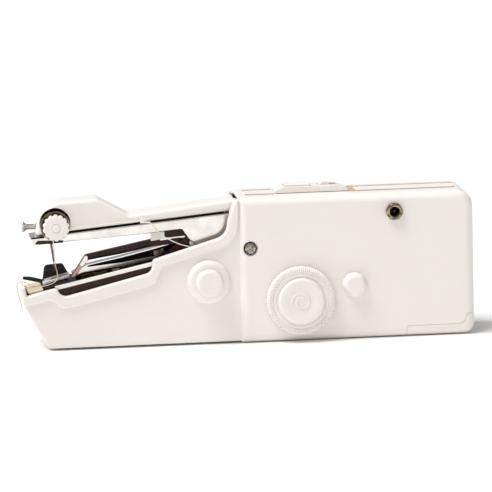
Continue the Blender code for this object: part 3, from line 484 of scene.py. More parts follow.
LOOKS = {
    # The record's slots
    "white_case": dict(tone=(0.87, 0.825, 0.79), shade=(0.855, 0.805, 0.768), rough=(0.3, 0.42),
        patch=30.0, grain=2600.0, bump=0.12, scatter=0.08),
    "nickel": dict(tone=(0.4, 0.36, 0.29), shade=(0.2, 0.17, 0.13), rough=(0.16, 0.34),
        metallic=1.0, patch=350.0, grain=3000.0, bump=0.25, worn=(0.85, 0.82, 0.76)),
    "black_plastic": dict(tone=(0.012, 0.011, 0.011), shade=(0.03, 0.027, 0.025), rough=(0.35, 0.55),
        patch=300.0, bump=0.2),
    "grey_plastic": dict(tone=(0.14, 0.14, 0.15), shade=(0.2, 0.2, 0.2), rough=(0.4, 0.55),
        patch=120.0, bump=0.15),
    "brass": dict(tone=(0.62, 0.42, 0.17), shade=(0.36, 0.23, 0.09), rough=(0.2, 0.4),
        metallic=1.0, patch=260.0, grain=2500.0, bump=0.2, worn=(0.85, 0.68, 0.4)),
    "brass_plate": dict(tone=(0.9, 0.79, 0.58), shade=(0.76, 0.63, 0.43), rough=(0.3, 0.5),
        metallic=0.3, patch=200.0, grain=1800.0, stretch=(1, 8, 1), bump=0.2, worn=(0.9, 0.82, 0.62)),
    "motor_can": dict(tone=(0.55, 0.55, 0.54), shade=(0.4, 0.4, 0.4), rough=(0.25, 0.4),
        metallic=1.0, patch=90.0, grain=900.0, stretch=(1, 12, 1)),
    "battery_wrap": dict(tone=(0.03, 0.16, 0.09), shade=(0.02, 0.1, 0.06), rough=(0.2, 0.32),
        patch=60.0, coat=0.4),
    "steel": dict(tone=(0.56, 0.53, 0.49), shade=(0.38, 0.34, 0.3), rough=(0.2, 0.38),
        metallic=1.0, patch=240.0, grain=1600.0, stretch=(1, 1, 9), bump=0.2, worn=(0.85, 0.83, 0.8)),
    "chrome": dict(tone=(0.86, 0.84, 0.81), shade=(0.74, 0.7, 0.66), rough=(0.1, 0.24),
        metallic=1.0, patch=160.0, grain=2200.0, bump=0.03, worn=(0.96, 0.95, 0.93)),
    "dark_steel": dict(tone=(0.036, 0.011, 0.009), shade=(0.018, 0.007, 0.006), rough=(0.28, 0.48),
        metallic=0.2, patch=220.0, grain=2400.0, bump=0.15, speckle=(0.05, 0.02, 0.015), gloss=0.3),
    "thread": dict(tone=(0.84, 0.76, 0.55), shade=(0.7, 0.6, 0.38), rough=(0.7, 0.9),
        patch=500.0, grain=6000.0, bump=0.6, sheen=0.4),
    # More tones, for places where the real finish differs from the rest of its slot, and for painted shade
    "foot_tab": dict(tone=(0.024, 0.02, 0.014), shade=(0.008, 0.007, 0.005), rough=(0.35, 0.6),
        metallic=0.5, patch=350.0, grain=2600.0, bump=0.4, speckle=(0.05, 0.044, 0.034)),
    "foot_sole": dict(tone=(0.84, 0.8, 0.77), shade=(0.64, 0.6, 0.57), rough=(0.4, 0.55),
        metallic=0.15, patch=700.0, grain=2200.0, bump=0.35, worn=(0.92, 0.9, 0.87)),
    "lever_face": dict(tone=(0.042, 0.014, 0.009), shade=(0.018, 0.007, 0.005), rough=(0.2, 0.36),
        metallic=0.3, patch=120.0, stretch=(1, 1, 10), bump=0.15, gloss=0.3),
    "needle_steel": dict(tone=(0.22, 0.11, 0.095), shade=(0.15, 0.075, 0.065), rough=(0.2, 0.34),
        metallic=0.8, patch=260.0, grain=2400.0),
    "works": dict(tone=(0.07, 0.018, 0.011), shade=(0.014, 0.006, 0.005), rough=(0.25, 0.55),
        metallic=0.3, patch=260.0, grain=900.0, bump=0.3, speckle=(0.17, 0.09, 0.045)),
    "lever_black": dict(tone=(0.006, 0.005, 0.006), shade=(0.016, 0.01, 0.009), rough=(0.25, 0.45),
        patch=150.0, stretch=(1, 1, 10), bump=0.15, speckle=(0.025, 0.018, 0.014), gloss=0.08),
    "claw": dict(tone=(0.8, 0.5, 0.45), shade=(0.66, 0.38, 0.35), rough=(0.3, 0.45),
        metallic=0.3, patch=300.0, grain=2200.0),
    "works_gold": dict(tone=(0.28, 0.17, 0.07), shade=(0.08, 0.07, 0.04), rough=(0.25, 0.5),
        metallic=0.7, patch=500.0, grain=1800.0, bump=0.3),
    # Near black for painted shade: in gaps, slots, recesses and screw wells, and under edges
    "painted_shade_black": dict(tone=(0.004, 0.004, 0.004), shade=(0.008, 0.006, 0.006), rough=(0.75, 0.9),
        patch=200.0, gloss=0.1),
    "pale_metal": dict(tone=(0.93, 0.91, 0.87), shade=(0.87, 0.84, 0.79), rough=(0.25, 0.4),
        metallic=0.3, patch=260.0, grain=2200.0),
    "old_nickel": dict(tone=(0.5, 0.4, 0.26), shade=(0.09, 0.068, 0.04), rough=(0.14, 0.28),
        metallic=1.0, patch=420.0, grain=2600.0, bump=0.3),
    "screw_face": dict(tone=(0.5, 0.48, 0.4), shade=(0.2, 0.19, 0.15), rough=(0.2, 0.35),
        metallic=1.0, patch=700.0, grain=2600.0, bump=0.2),
    "pale_brass": dict(tone=(0.78, 0.64, 0.42), shade=(0.45, 0.35, 0.22), rough=(0.2, 0.35),
        metallic=0.9, patch=350.0, grain=2500.0, bump=0.15),
    "bracket": dict(tone=(0.05, 0.013, 0.009), shade=(0.008, 0.006, 0.006), rough=(0.3, 0.5),
        patch=150.0, grain=1200.0, bump=0.3, speckle=(0.09, 0.05, 0.035), gloss=0.25),
    "seam_grey": dict(tone=(0.42, 0.33, 0.29), shade=(0.34, 0.26, 0.22), rough=(0.5, 0.7), patch=90.0),
    # Near black for painted shade on the front tension disc
    "disc_painted_shade": dict(tone=(0.06, 0.05, 0.04), shade=(0.02, 0.017, 0.015), rough=(0.2, 0.35),
        metallic=1.0, patch=200.0, grain=2200.0),
    "seam": dict(tone=(0.62, 0.42, 0.27), shade=(0.54, 0.35, 0.21), rough=(0.4, 0.6), patch=90.0),
    "thread_white": dict(tone=(0.9, 0.88, 0.8), shade=(0.8, 0.75, 0.62), rough=(0.7, 0.9),
        patch=500.0, grain=6000.0, bump=0.6, sheen=0.4),
    "thread_pale": dict(tone=(0.9, 0.85, 0.6), shade=(0.68, 0.54, 0.34), rough=(0.7, 0.9),
        patch=160.0, grain=6000.0, bump=0.6, sheen=0.3),
    "floor": dict(tone=(0.95, 0.945, 0.94), shade=(0.94, 0.935, 0.93), rough=(0.55, 0.7),
        patch=6.0, grain=700.0, bump=0.03),
}

MATERIALS = {name: surface(name, **look) for name, look in LOOKS.items()}


# ------------------------ pieces


SLOT_OF = {part["node"]: part["material_slot"] for part in frame["record"]["subparts"]}
BODY_OF = {node: body for body, nodes in frame["record"]["behaviour"]["bodies"].items() for node in nodes}


def show(made):
    """Puts an object in the scene."""
    bpy.context.scene.collection.objects.link(made)


def to_object(name, bm):
    """Object in the row frame, in metres, from a solid in design millimetres."""
    for vertex in bm.verts:
        vertex.co = (vertex.co - CENTRE) * MM
    mesh = bpy.data.meshes.new(name)
    bm.to_mesh(mesh)
    bm.free()
    made = bpy.data.objects.new(name, mesh)
    show(made)
    return made


def carved(name, bm, *steps):
    """Object from a solid with (operation, solid) booleans applied to it in turn."""
    made = to_object(name, bm)
    guides = []
    for operation, tool in steps:
        guide = to_object("guide", tool)
        guides.append(guide)
        step = made.modifiers.new("shape", "BOOLEAN")
        step.operation = operation
        step.solver = "EXACT"
        step.object = guide
    if guides:
        shown = made.evaluated_get(bpy.context.evaluated_depsgraph_get())
        mesh = bpy.data.meshes.new_from_object(shown)
        made.modifiers.clear()
        made.data = mesh
        for guide in guides:
            bpy.data.objects.remove(guide)
    return made


def cut(*solids):
    """Steps for carved() that take solids away."""
    return [("DIFFERENCE", bm) for bm in solids]


def add(*solids):
    """Steps for carved() that join solids on."""
    return [("UNION", bm) for bm in solids]


def place(made, slot, body, *nodes, bevel=0.0, tone=None, edge=None, segments=2, crease=40.0, span=None):
    """Finishes a piece: clean faces, soft edges, material, its body and the CAD nodes it stands for.

    span, given for a piece that runs between two bodies, leaves it attached to none, with its transform
    baked in; what span holds is not read.
    """
    mesh = made.data
    mesh.materials.clear()
    mesh.materials.append(MATERIALS[tone or slot])
    bm = bmesh.new()
    bm.from_mesh(mesh)
    bmesh.ops.remove_doubles(bm, verts=bm.verts, dist=MERGE)
    for face in bm.faces:
        face.material_index = 0
        face.smooth = True
    bm.to_mesh(mesh)
    bm.free()
    if bevel:
        soft = made.modifiers.new("edges", "BEVEL")
        soft.width = bevel * MM
        soft.segments = segments
        soft.limit_method = "ANGLE"
        soft.angle_limit = radians(crease)
        # edge puts a second material on the bevelled edges: a painted highlight along them
        if edge:
            mesh.materials.append(MATERIALS[edge])
            soft.material = 1
    else:
        mesh.set_sharp_from_angle(angle=radians(crease))
    made.modifiers.new("shading", "WEIGHTED_NORMAL").keep_sharp = True
    if span:
        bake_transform(made)
    else:
        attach(made, body)
    if nodes:
        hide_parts(*nodes)
    return made


def piece(name, solid, *where, **look):
    """Finished piece from a plain solid; the rest is handed to place()."""
    return place(to_object(name, solid), *where, **look)


def stand_in(made, node, **look):
    """Finished piece that stands for a CAD node, with that node's slot and body."""
    place(made, SLOT_OF[node], BODY_OF[node], node, **look)


def refined(node, bevel, tone=None):
    """Copy of a CAD node with softened edges, which stands for that node."""
    copy = bpy.data.objects.new(f"{node}_soft", frame["nodes"][node].data.copy())
    show(copy)
    stand_in(copy, node, bevel=bevel, tone=tone)


# ------------------------ camera and cord


def build_camera():
    """Camera at the picture's angle, aimed so that the machine fills the frame as it does there."""
    azimuth = radians(CAMERA_AZIMUTH)
    elevation = radians(CAMERA_ELEVATION)
    roll = radians(CAMERA_ROLL)
    right = Vector((cos(azimuth), -sin(azimuth), 0.0))
    lift = sin(elevation)
    up = Vector((sin(azimuth) * lift, cos(azimuth) * lift, cos(elevation)))
    image_right = right * cos(roll) - up * sin(roll)
    image_up = up * cos(roll) + right * sin(roll)
    back = image_right.cross(image_up)
    target = ANCHOR - image_right * CENTRE_LEFT + image_up * CENTRE_UP
    spot = (target + back * (FRAME_WIDTH * LENS / SENSOR) - CENTRE) * MM
    data = bpy.data.cameras.new("camera")
    data.lens = LENS
    data.sensor_width = SENSOR
    camera = bpy.data.objects.new("camera", data)
    turn = Matrix((image_right, image_up, back)).transposed().to_4x4()
    camera.matrix_world = Matrix.Translation(spot) @ turn
    show(camera)
    bpy.context.scene.camera = camera


def build_tail():
    """Loose end of the needle thread: over the foot, out at the nose and down."""
    points = smooth_route(TAIL_ROUTE, TAIL_SPACING)
    strand = twisted(points, THREAD_RADIUS)
    tail = piece("tail_thread", strand, "thread", "case", "thread_tail", tone="thread_pale")


# ------------------------ the case


def cover_region(spread):
    """Outline of the battery cover's corner of the case, grown by spread."""
    return [
        (COVER_X - spread, -9.0, 0), (END_X + 9.0, -9.0, 0), (END_X + 9.0, 10.0 + spread, 0),
        (206.4 - spread, 10.0 + spread, 1.0), (205.0 - spread, 5.1 + spread, 3.5),
        (COVER_X - spread, 5.1 + spread, 0),
    ]


def case_steps(side):
    """Booleans that make one half of the case from its outer slab; side is -1 in front and 1 behind."""

    def span(near, far):
        return (near * side, far * side) if side > 0 else (far * side, near * side)

    def edges(radius):
        return {"back_edge": radius} if side > 0 else {"front_edge": radius}

    steps = add(slab(LIP_INNER + NOSE_CORNERS, *span(-4, ARM_HALF_DEPTH), **edges(LIP_EDGE)))
    if side < 0:
        band = slab(LIP_INNER + LIP_OUTER, LIP_FRONT, 1.0 - ARM_HALF_DEPTH, front_edge=LIP_EDGE, grow=0.07)
        collar = [(-14.5, 10.4), (-16.0, 10.4), (-16.9, 10.1), (-17.6, 9.5), (-18.0, 8.8), (-18.2, 8.0)]
        collar += [(-18.2, 0.0)]
        steps += add(band, turned(collar, SPOOL, sides=FINE_SIDES))
    inner = rectangle((STEP_X + WALL, WALL), (END_X - WALL, CASE_TOP - WALL), 1, 3, 6, 1)
    tray = [(-1.6, 90.0, 0), (-1.6, 22.5, 1), (9.0, ARM_BASE + WALL, 2), (106.0, ARM_BASE + WALL, 0)]
    tray += [(106.0, 56.0, 0), (95.5, 56.0, 0), (92.0, 90.0, 0)]
    steps += cut(
        slab(inner, *span(-6, HALF_DEPTH - WALL), **edges(2.0)),
        slab(tray, *span(-6, ARM_HALF_DEPTH - WALL)),
        box((88.0, -9.2, 50.0), (102.4, 9.2, 64.6)),
        box((88.0, -9.2, 60.0), (99.2, 9.2, 80.0)),
    )
    return steps


def case_openings(side):
    """Holes in both halves: battery cover, switch slots and the seam."""
    low, high = sorted((SEAM_GAP * side, -OUTSIDE * side))
    return cut(
        slab(cover_region(COVER_GAP), -OUTSIDE, OUTSIDE),
        box((121.8, -4.6, 66.0), (135.2, 4.6, 75.0)),
        box((139.4, -1.6, 66.0), (147.2, 1.6, 75.0)),
        box((-20, low, -20), (230, high, 100)),
    )


def build_case():
    bores = cut(*[disc(radius, -OUTSIDE, back, centre) for radius, back, centre in FRONT_BORES])
    body = slab(BODY_CORNERS, -HALF_DEPTH, 4, front_edge=CASE_EDGE, edge_steps=8)
    front = carved("case_front", body, *case_steps(-1), *bores, *case_openings(-1))
    stand_in(front, "front_case", bevel=CASE_BEVEL)

    body = slab(BODY_CORNERS, -4, HALF_DEPTH, back_edge=CASE_EDGE, edge_steps=8)
    bores = add(disc(12.4, 1.2, 16.8, SPOOL, sides=FINE_SIDES))
    bores += cut(disc(10.9, 2.7, OUTSIDE, SPOOL, sides=FINE_SIDES), disc(2.0, 0, 10, SPOOL))
    bores += cut(box((82.4, 7.0, 38.0), (85.4, 10.0, 46.0)))
    for centre in REAR_SCREWS:
        face = ARM_HALF_DEPTH if centre[0] < STEP_X else HALF_DEPTH
        bores += add(disc(4.2, face - 4.0, face - 1.0, centre))
        bores += cut(disc(3.4, face - 1.4, OUTSIDE, centre))
    rear = carved("case_rear", body, *case_steps(1), *bores, *case_openings(1))
    stand_in(rear, "rear_case", bevel=CASE_BEVEL)


def build_case_lines():
    """The coloured line in the seam between the halves, and the raised bands and lines along the top."""
    seam = carved(
        "case_seam",
        slab(BODY_CORNERS, -0.8, 0.8, grow=-0.35),
        *cut(slab(BODY_CORNERS, -3, 3, grow=-1.6), slab(cover_region(1.0), -OUTSIDE, OUTSIDE)),
        *cut(box((90.0, -5.0, -5.0), (106.0, 5.0, 80.0)), box((117.0, -5.0, 60.0), (152.5, 5.0, 75.0))),
    )
    place(seam, "white_case", "case", tone="seam")
    base = CASE_TOP - 0.5
    top = CASE_TOP + TOP_BAND_RISE
    for side, start, end in TOP_BANDS:
        band = box((start, -6.4, base), (end, 4.6, top))
        piece(f"top_band_{side}", band, "white_case", "case", bevel=0.2)
        for line, near, far, rise, tone in TOP_LINES:
            bead = box((start, near, base), (end, far, top + rise))
            piece(f"top_line_{line}_{side}", bead, "white_case", "case", tone=tone, bevel=0.2)
    block = box((152.3, -6.2, CASE_TOP), (155.6, 4.4, top + 0.1))
    piece("top_line_end", block, "white_case", "case", tone="seam", bevel=0.1)


def build_battery_cover():
    corners = [(COVER_X - 6, 0.0, 0)] + BODY_CORNERS[1:3] + [(COVER_X - 6, CASE_TOP, 0)]
    inner = rectangle((COVER_X - 9, WALL), (END_X - WALL, 80.0), 0, 3, 0, 0)
    cover = carved(
        "battery_lid",
        slab(corners, -HALF_DEPTH, HALF_DEPTH, CASE_EDGE, CASE_EDGE, edge_steps=8),
        *cut(slab(inner, WALL - HALF_DEPTH, HALF_DEPTH - WALL, 2.0, 2.0)),
        ("INTERSECT", slab(cover_region(0.0), -OUTSIDE, OUTSIDE)),
    )
    stand_in(cover, "battery_cover", bevel=CASE_BEVEL)


def build_case_screws():
    """Cross-head screws: a domed head with a cross recess, and a black ring of painted shade in its well."""
    spots = [("case_screw_1", FRONT_SCREW, -17.3, -1)]
    for number, centre in enumerate(REAR_SCREWS, 2):
        face = ARM_HALF_DEPTH if centre[0] < STEP_X else HALF_DEPTH
        spots.append((f"case_screw_{number}", centre, face - 0.1, 1))
    for name, centre, face, side in spots:
        profile = [(face - side * 1.0, 0.0), (face - side * 1.0, 2.5), (face - side * 0.5, 2.6)]
        profile += [(face - side * 0.25, 2.4), (face - side * 0.1, 1.8), (face, 1.0), (face, 0.0)]
        low, high = sorted((face - side * 0.95, face + side * 1.0))
        arms = [[polar(centre, 2.3, angle + a) + (0,) for a in (0, 10, 180, 190)] for angle in (40, 130)]
        recess = cut(*[slab(arm, low, high) for arm in arms], disc(0.75, low, high, centre))
        head = carved(f"{name}_head", turned(profile, centre), *recess)
        stand_in(head, name, bevel=0.08, tone="screw_face")
        well = [(face - side * sunk, radius) for sunk, radius in SCREW_WELL]
        piece(f"{name}_well", turned(well, centre, bored=True), "nickel", "case", tone="painted_shade_black")


def build_jack():
    nut = [(-17.4, 3.3), (-17.4, 4.0), (-18.9, 4.0), (-19.4, 3.75), (-19.6, 3.4), (-19.7, 2.75)]
    nut += [(-19.62, 2.5), (-19.35, 2.5), (-19.35, 3.3)]

    def six_sided(row, turn):
        return 0.0, 0.12 * cos(6 * turn) * (1 <= row <= 3)

    notches = []
    for side in (-1, 1):
        low, high = sorted((JACK[0] + 3.75 * side, JACK[0] + 5.0 * side))
        notches.append(box((low, -19.9, JACK[1] - 0.55), (high, -18.9, JACK[1] + 0.55)))
    ring = carved("jack_ring", turned(nut, JACK, bored=True, ripple=six_sided), *cut(*notches))
    stand_in(ring, "jack_nut", bevel=0.1, tone="old_nickel")
    barrel = [(-8.0, 0.0), (-8.0, 3.1), (-18.8, 3.1), (-19.2, 2.8), (-19.2, 2.3), (-18.9, 2.1)]
    barrel += [(-10.0, 2.1), (-10.0, 0.8), (-17.2, 0.8), (-17.5, 0.5), (-17.5, 0.0)]
    stand_in(to_object("jack_insert", turned(barrel, JACK)), "jack_barrel")


def build_switch():
    base = CASE_TOP + GAP
    profile = [(117.4, base, 0), (152.0, base, 0), (152.0, base + 0.8, 0.4), (146.6, 72.0, 1.5)]
    profile += [(121.4, 72.0, 2.0), (117.4, base + 0.8, 0.4)]
    housing = carved(
        "switch_shroud",
        slab(profile, -6.6, 6.6),
        *cut(
            box((121.9, -4.5, 60.0), (135.1, 4.5, 80.0)),
            box((138.2, -2.9, 70.2), (147.2, 2.9, 80.0)),
            box((139.4, -1.6, 60.0), (146.9, 1.6, 80.0)),
        ),
    )
    stand_in(housing, "switch_housing", bevel=0.45, segments=4)
    # A black sheet in the lock slot: painted shade in the slot
    slot_shade = box((138.3, -2.8, 70.1), (147.1, 2.8, 70.35))
    piece("lock_slot_shade", slot_shade, "black_plastic", "case", bevel=0.05)

    cap = rectangle((122.3, 70.2), (134.7, 73.0), 0.4, 0.4, 0.8, 0.8)
    grips = cut(*[box((124.6 + 1.6 * k, -2.9, 72.75), (125.2 + 1.6 * k, 2.9, 74.0)) for k in range(6)])
    stem = add(box((125.0, -2.4, 67.0), (132.0, 2.4, 71.0)))
    button = carved("push_button", slab(cap, -4.1, 4.1, 0.8, 0.8), *grips, *stem)
    stand_in(button, "power_button", bevel=0.08)

    knob = [(138.6, 70.5, 0.2), (143.9, 70.5, 0.2), (143.9, 72.0, 0.4)]
    knob += [(142.4, 73.7, 0.5), (140.2, 73.7, 0.5), (138.6, 72.0, 0.4)]
    grips = cut(*[box((140.4 + 0.7 * k, -3.0, 73.5), (140.7 + 0.7 * k, 3.0, 74.5)) for k in range(3)])
    stem = add(box((139.7, -1.2, 67.4), (143.2, 1.2, 71.5)))
    slider = carved("lock_tab", slab(knob, -2.5, 2.5, 0.5, 0.5), *grips, *stem)
    stand_in(slider, "lock_slider", bevel=0.06)


# ------------------------ wheel and spindles


def build_handwheel():
    """Wheel with a finely ribbed rim and ring face, a raised inner disc and a curl moulded on its hub."""
    ribs = 100
    face_rib = 0.24
    rim_rib = 0.14
    profile = [(-21.6, 0.0), (-21.6, 2.8), (-18.2, 2.8), (-18.0, 3.2), (-18.0, 15.2), (-18.1, 15.7)]
    profile += [(-18.6, 16.15)]
    rim_start = len(profile)
    profile += [(-19.0, 16.15), (-20.9, 16.15), (-21.5, 16.05), (-21.8, 15.6), (-21.9, 15.0), (-21.9, 13.7)]
    rim_end = len(profile)
    profile += [(-21.75, 13.45), (-21.6, 13.3), (-21.6, 13.1), (-21.85, 12.9), (-21.9, 12.6)]
    profile += [(-21.85, 12.2), (-21.5, 11.8), (-21.3, 11.4), (-21.35, 11.0), (-21.8, 10.85), (-23.2, 10.75)]
    profile += [(-23.6, 10.6), (-23.85, 10.3), (-23.98, 9.8), (-24.0, 9.2), (-23.9, 6.6), (-23.7, 5.9)]
    profile += [(-23.6, 5.3), (-23.6, 0.0)]

    def ribbed(row, turn):
        if rim_start <= row < rim_end:
            wave = cos(ribs * turn)
            face = min(1.0, (row - rim_start) / 3)
            return -face_rib * wave * face, rim_rib * wave * (1 - face)
        return 0.0, 0.0

    bm = turned(profile, WHEEL, sides=ribs * 6, ripple=ribbed)
    stand_in(to_object("hand_wheel_ribbed", bm), "handwheel", crease=ROUND_CREASE)

    steps = 90
    curl = []
    for k in range(steps):
        share = k / (steps - 1)
        x, z = polar(WHEEL, 4.8 - 3.2 * share, 200 - 540 * share)
        curl.append(Vector((x, -23.62, z)))
    piece("hand_wheel_curl", twisted(curl, 0.36, depth=0.0), "white_case", "handwheel")


def build_spindles():
    cap = [(16.6, 0.0), (16.6, 0.9), (15.6, 1.6), (-18.45, 1.6), (-18.45, 6.3), (-18.7, 6.4), (-21.6, 6.3)]
    cap += [(-22.2, 6.1), (-22.6, 5.7), (-22.78, 5.2), (-22.8, 4.6), (-22.7, 2.0), (-22.68, 0.0)]
    stand_in(to_object("spool_cap", turned(cap, SPOOL)), "spool_spindle", crease=ROUND_CREASE)
    knob = [(-0.5, 0.0), (-0.5, 1.2), (-1.5, 2.1), (-17.8, 2.1), (-17.8, 5.7), (-18.0, 5.85), (-19.0, 5.8)]
    knob += [(-19.5, 5.45), (-19.9, 5.0), (-20.9, 4.7), (-21.3, 4.45), (-21.55, 4.0), (-21.6, 3.4)]
    knob += [(-21.55, 1.5), (-21.55, 0.0)]
    stand_in(to_object("spare_knob", turned(knob, SPARE)), "spare_spindle", crease=ROUND_CREASE)


# ------------------------ needle arm


def build_arm():
    side = [
        (1.5, 49.3, 2.2), (58.0, 53.0, 0.0), (72.6, 54.2, 1.5), (75.8, 49.2, 2.0), (79.9, 45.4, 2.5),
        (86.0, 46.6, 4.0), (92.0, 50.4, 3.0), (98.5, 54.6, 3.0), (137.6, 54.2, 3.0), (137.6, 61.2, 3.0),
        (93.5, gap_line(93.5) - 0.45, 0.0), (0.9, gap_line(0.9) - 0.45, 0.8),
    ]
    hollow = [(2.6, 30.0, 0), (150.0, 30.0, 0), (150.0, 60.3, 0), (93.5, gap_line(93.5) - 1.3, 0)]
    hollow += [(2.6, gap_line(2.6) - 1.3, 0)]
    channel = carved(
        "needle_bar_channel",
        slab(side, -ARM_SIDE, ARM_SIDE, 0.6, 0.6),
        *cut(
            slab(hollow, SHEET - ARM_SIDE, ARM_SIDE - SHEET),
            box((22.0, -7.1, 40.0), (86.0, 3.8, 70.0)),
            box((60.0, 5.0, 30.0), (99.0, 9.0, 54.4)),
            disc(2.1, -10, 10, ARM_PIVOT),
            disc(1.8, -10, -5, ROD),
            disc(1.7, -10, -5, TENSION),
            disc(1.5, 50.0, 55.0, (10.7, 0.0), "Z"),
        ),
    )
    stand_in(channel, "arm_channel", bevel=0.12)

    crown = [
        (3.6, gap_line(3.6) + 0.45, 0.8), (98.2, gap_line(98.2) + 0.45, 0.5), (98.2, 67.6, 1.0),
        (47.5, 61.9, 3.0), (33.2, 70.1, 3.0), (13.0, 69.3, 11.0), (5.1, 63.9, 3.5),
    ]
    room = [(5.1, 40.0, 0), (108.0, 40.0, 0), (108.0, 67.0, 0), (47.9, 60.3, 3.0), (32.8, 68.5, 2.0)]
    room += [(13.4, 67.7, 9.0), (6.7, 63.2, 2.0)]
    cover = carved(
        "needle_bar_cover",
        slab(crown, -8.4, 8.4, 1.8, 1.8, edge_steps=6),
        *cut(slab(room, -6.9, 6.9), disc(7.3, -10, -5, RECESS, sides=FINE_SIDES)),
        *cut(disc(1.8, 0, 10, (0.0, NEEDLE_SCREW_Z), "X")),
    )
    stand_in(cover, "arm_cover", bevel=0.15)

    # A black sheet inside the cover behind the tension recess: painted shade in the recess
    recess_shade = [(5.8, 55.0, 0), (20.4, 55.2, 0), (20.4, 62.0, 3), (14.0, 67.2, 3), (7.0, 64.0, 3)]
    sheet = slab(recess_shade, -6.85, -6.5)
    piece("tension_recess_shade", sheet, "black_plastic", "needle_arm", bevel=0.1, tone="painted_shade_black")

    # A black strip in the gap between the cover and the channel: painted shade in the gap
    line = [(17.0, gap_line(17.0) - 1.2, 0), (92.6, gap_line(92.6) - 1.2, 0)]
    line += [(92.6, gap_line(92.6) + 1.2, 0), (17.0, gap_line(17.0) + 1.2, 0)]
    piece("arm_gap_shade", slab(line, -7.3, -6.95), "black_plastic", "needle_arm", tone="painted_shade_black")

    # A black sheet in the slot where the arm meets the case: painted shade in the slot
    notch = box((98.75, -9.1, 64.7), (99.3, 9.1, 67.6))
    piece("arm_slot_shade", notch, "black_plastic", "case", tone="painted_shade_black")

    # Sheets on the channel's front end: painted shade in the gap at the toe's top and under the toe, and a
    # pale stripe along the lower edge
    top = gap_line(1.0)
    toe = [(1.4, top - 1.0, 0.3), (7.4, top - 0.6, 0.3), (7.4, top + 0.2, 0.3), (1.4, top - 0.3, 0.3)]
    shade = [(2.4, 49.9, 0.5), (5.0, 49.55, 0.3), (16.4, 50.1, 0.3), (16.4, 51.2, 0.3), (4.6, 51.5, 0.7)]
    underline = [(16.0, 50.3, 0.2), (57.6, 52.7, 0.2), (57.6, 53.2, 0.2), (16.0, 50.8, 0.2)]
    for name, shape, depth, tone in (
        ("arm_toe_gap_shade", toe, 8.35, "painted_shade_black"),
        ("arm_toe_shade", shade, 8.35, "foot_tab"),
        ("arm_underline", underline, 8.3, "foot_sole"),
    ):
        piece(name, slab(shape, -depth, -8.0, 0.12, 0.0), "dark_steel", "needle_arm", tone=tone)


def build_tension():
    rear = [(-8.5, 1.7), (-8.5, 6.5), (-8.7, 6.9), (-8.9, 7.05), (-9.1, 7.0), (-9.05, 6.6), (-8.9, 6.1)]
    rear += [(-8.9, 1.7)]
    front = [(-10.2, 1.7), (-10.2, 5.7), (-10.05, 6.1), (-10.3, 6.3), (-10.5, 6.1), (-10.7, 5.7)]
    front += [(-10.7, 1.7)]
    # The front disc is near black: painted shade in the gap between the rear disc and the knob
    for side, profile, tone in (("rear", rear, "pale_brass"), ("front", front, "disc_painted_shade")):
        solid = turned(profile, TENSION, sides=FINE_SIDES, bored=True)
        dish = to_object(f"tension_dish_{side}", solid)
        stand_in(dish, f"tension_disc_{side}", crease=ROUND_CREASE, tone=tone)
    coil = twisted(helix(TENSION, 2.9, -12.5, -11.2, 2.5), 0.25, depth=0.0)
    stand_in(to_object("tension_coil", coil), "tension_spring")

    lobes = 14
    steps = 12
    scallop = 0.62

    def scalloped(radius):
        points = []
        for k in range(lobes * steps):
            wave = 0.5 + 0.5 * cos(2 * pi * k / steps)
            points.append(polar(TENSION, radius - scallop * wave**2, 360.0 * k / (lobes * steps)))
        return points

    layers = [(-11.8, 6.0), (-12.0, 6.15), (-12.3, 6.2), (-15.0, 6.2), (-15.3, 6.1), (-15.5, 5.9)]
    layers += [(-15.6, 5.6)]
    rings = [[Vector((x, y, z)) for x, z in scalloped(radius)] for y, radius in reversed(layers)]
    boss = [(-15.8, 0.0), (-15.8, 1.5), (-15.7, 1.75), (-15.3, 1.8), (-15.0, 1.8), (-15.0, 0.0)]
    dish = [(-20.0, 2.3), (-15.6, 2.3), (-15.25, 2.15), (-15.25, 1.6), (-20.0, 1.6)]
    knob = carved(
        "tension_scalloped_knob",
        loft(rings),
        *cut(turned(dish, TENSION, bored=True)),
        *add(turned(boss, TENSION)),
        *cut(disc(4.2, -13.0, -10.0, TENSION), disc(1.7, -15.3, -10.0, TENSION)),
    )
    stand_in(knob, "tension_knob", bevel=0.1)


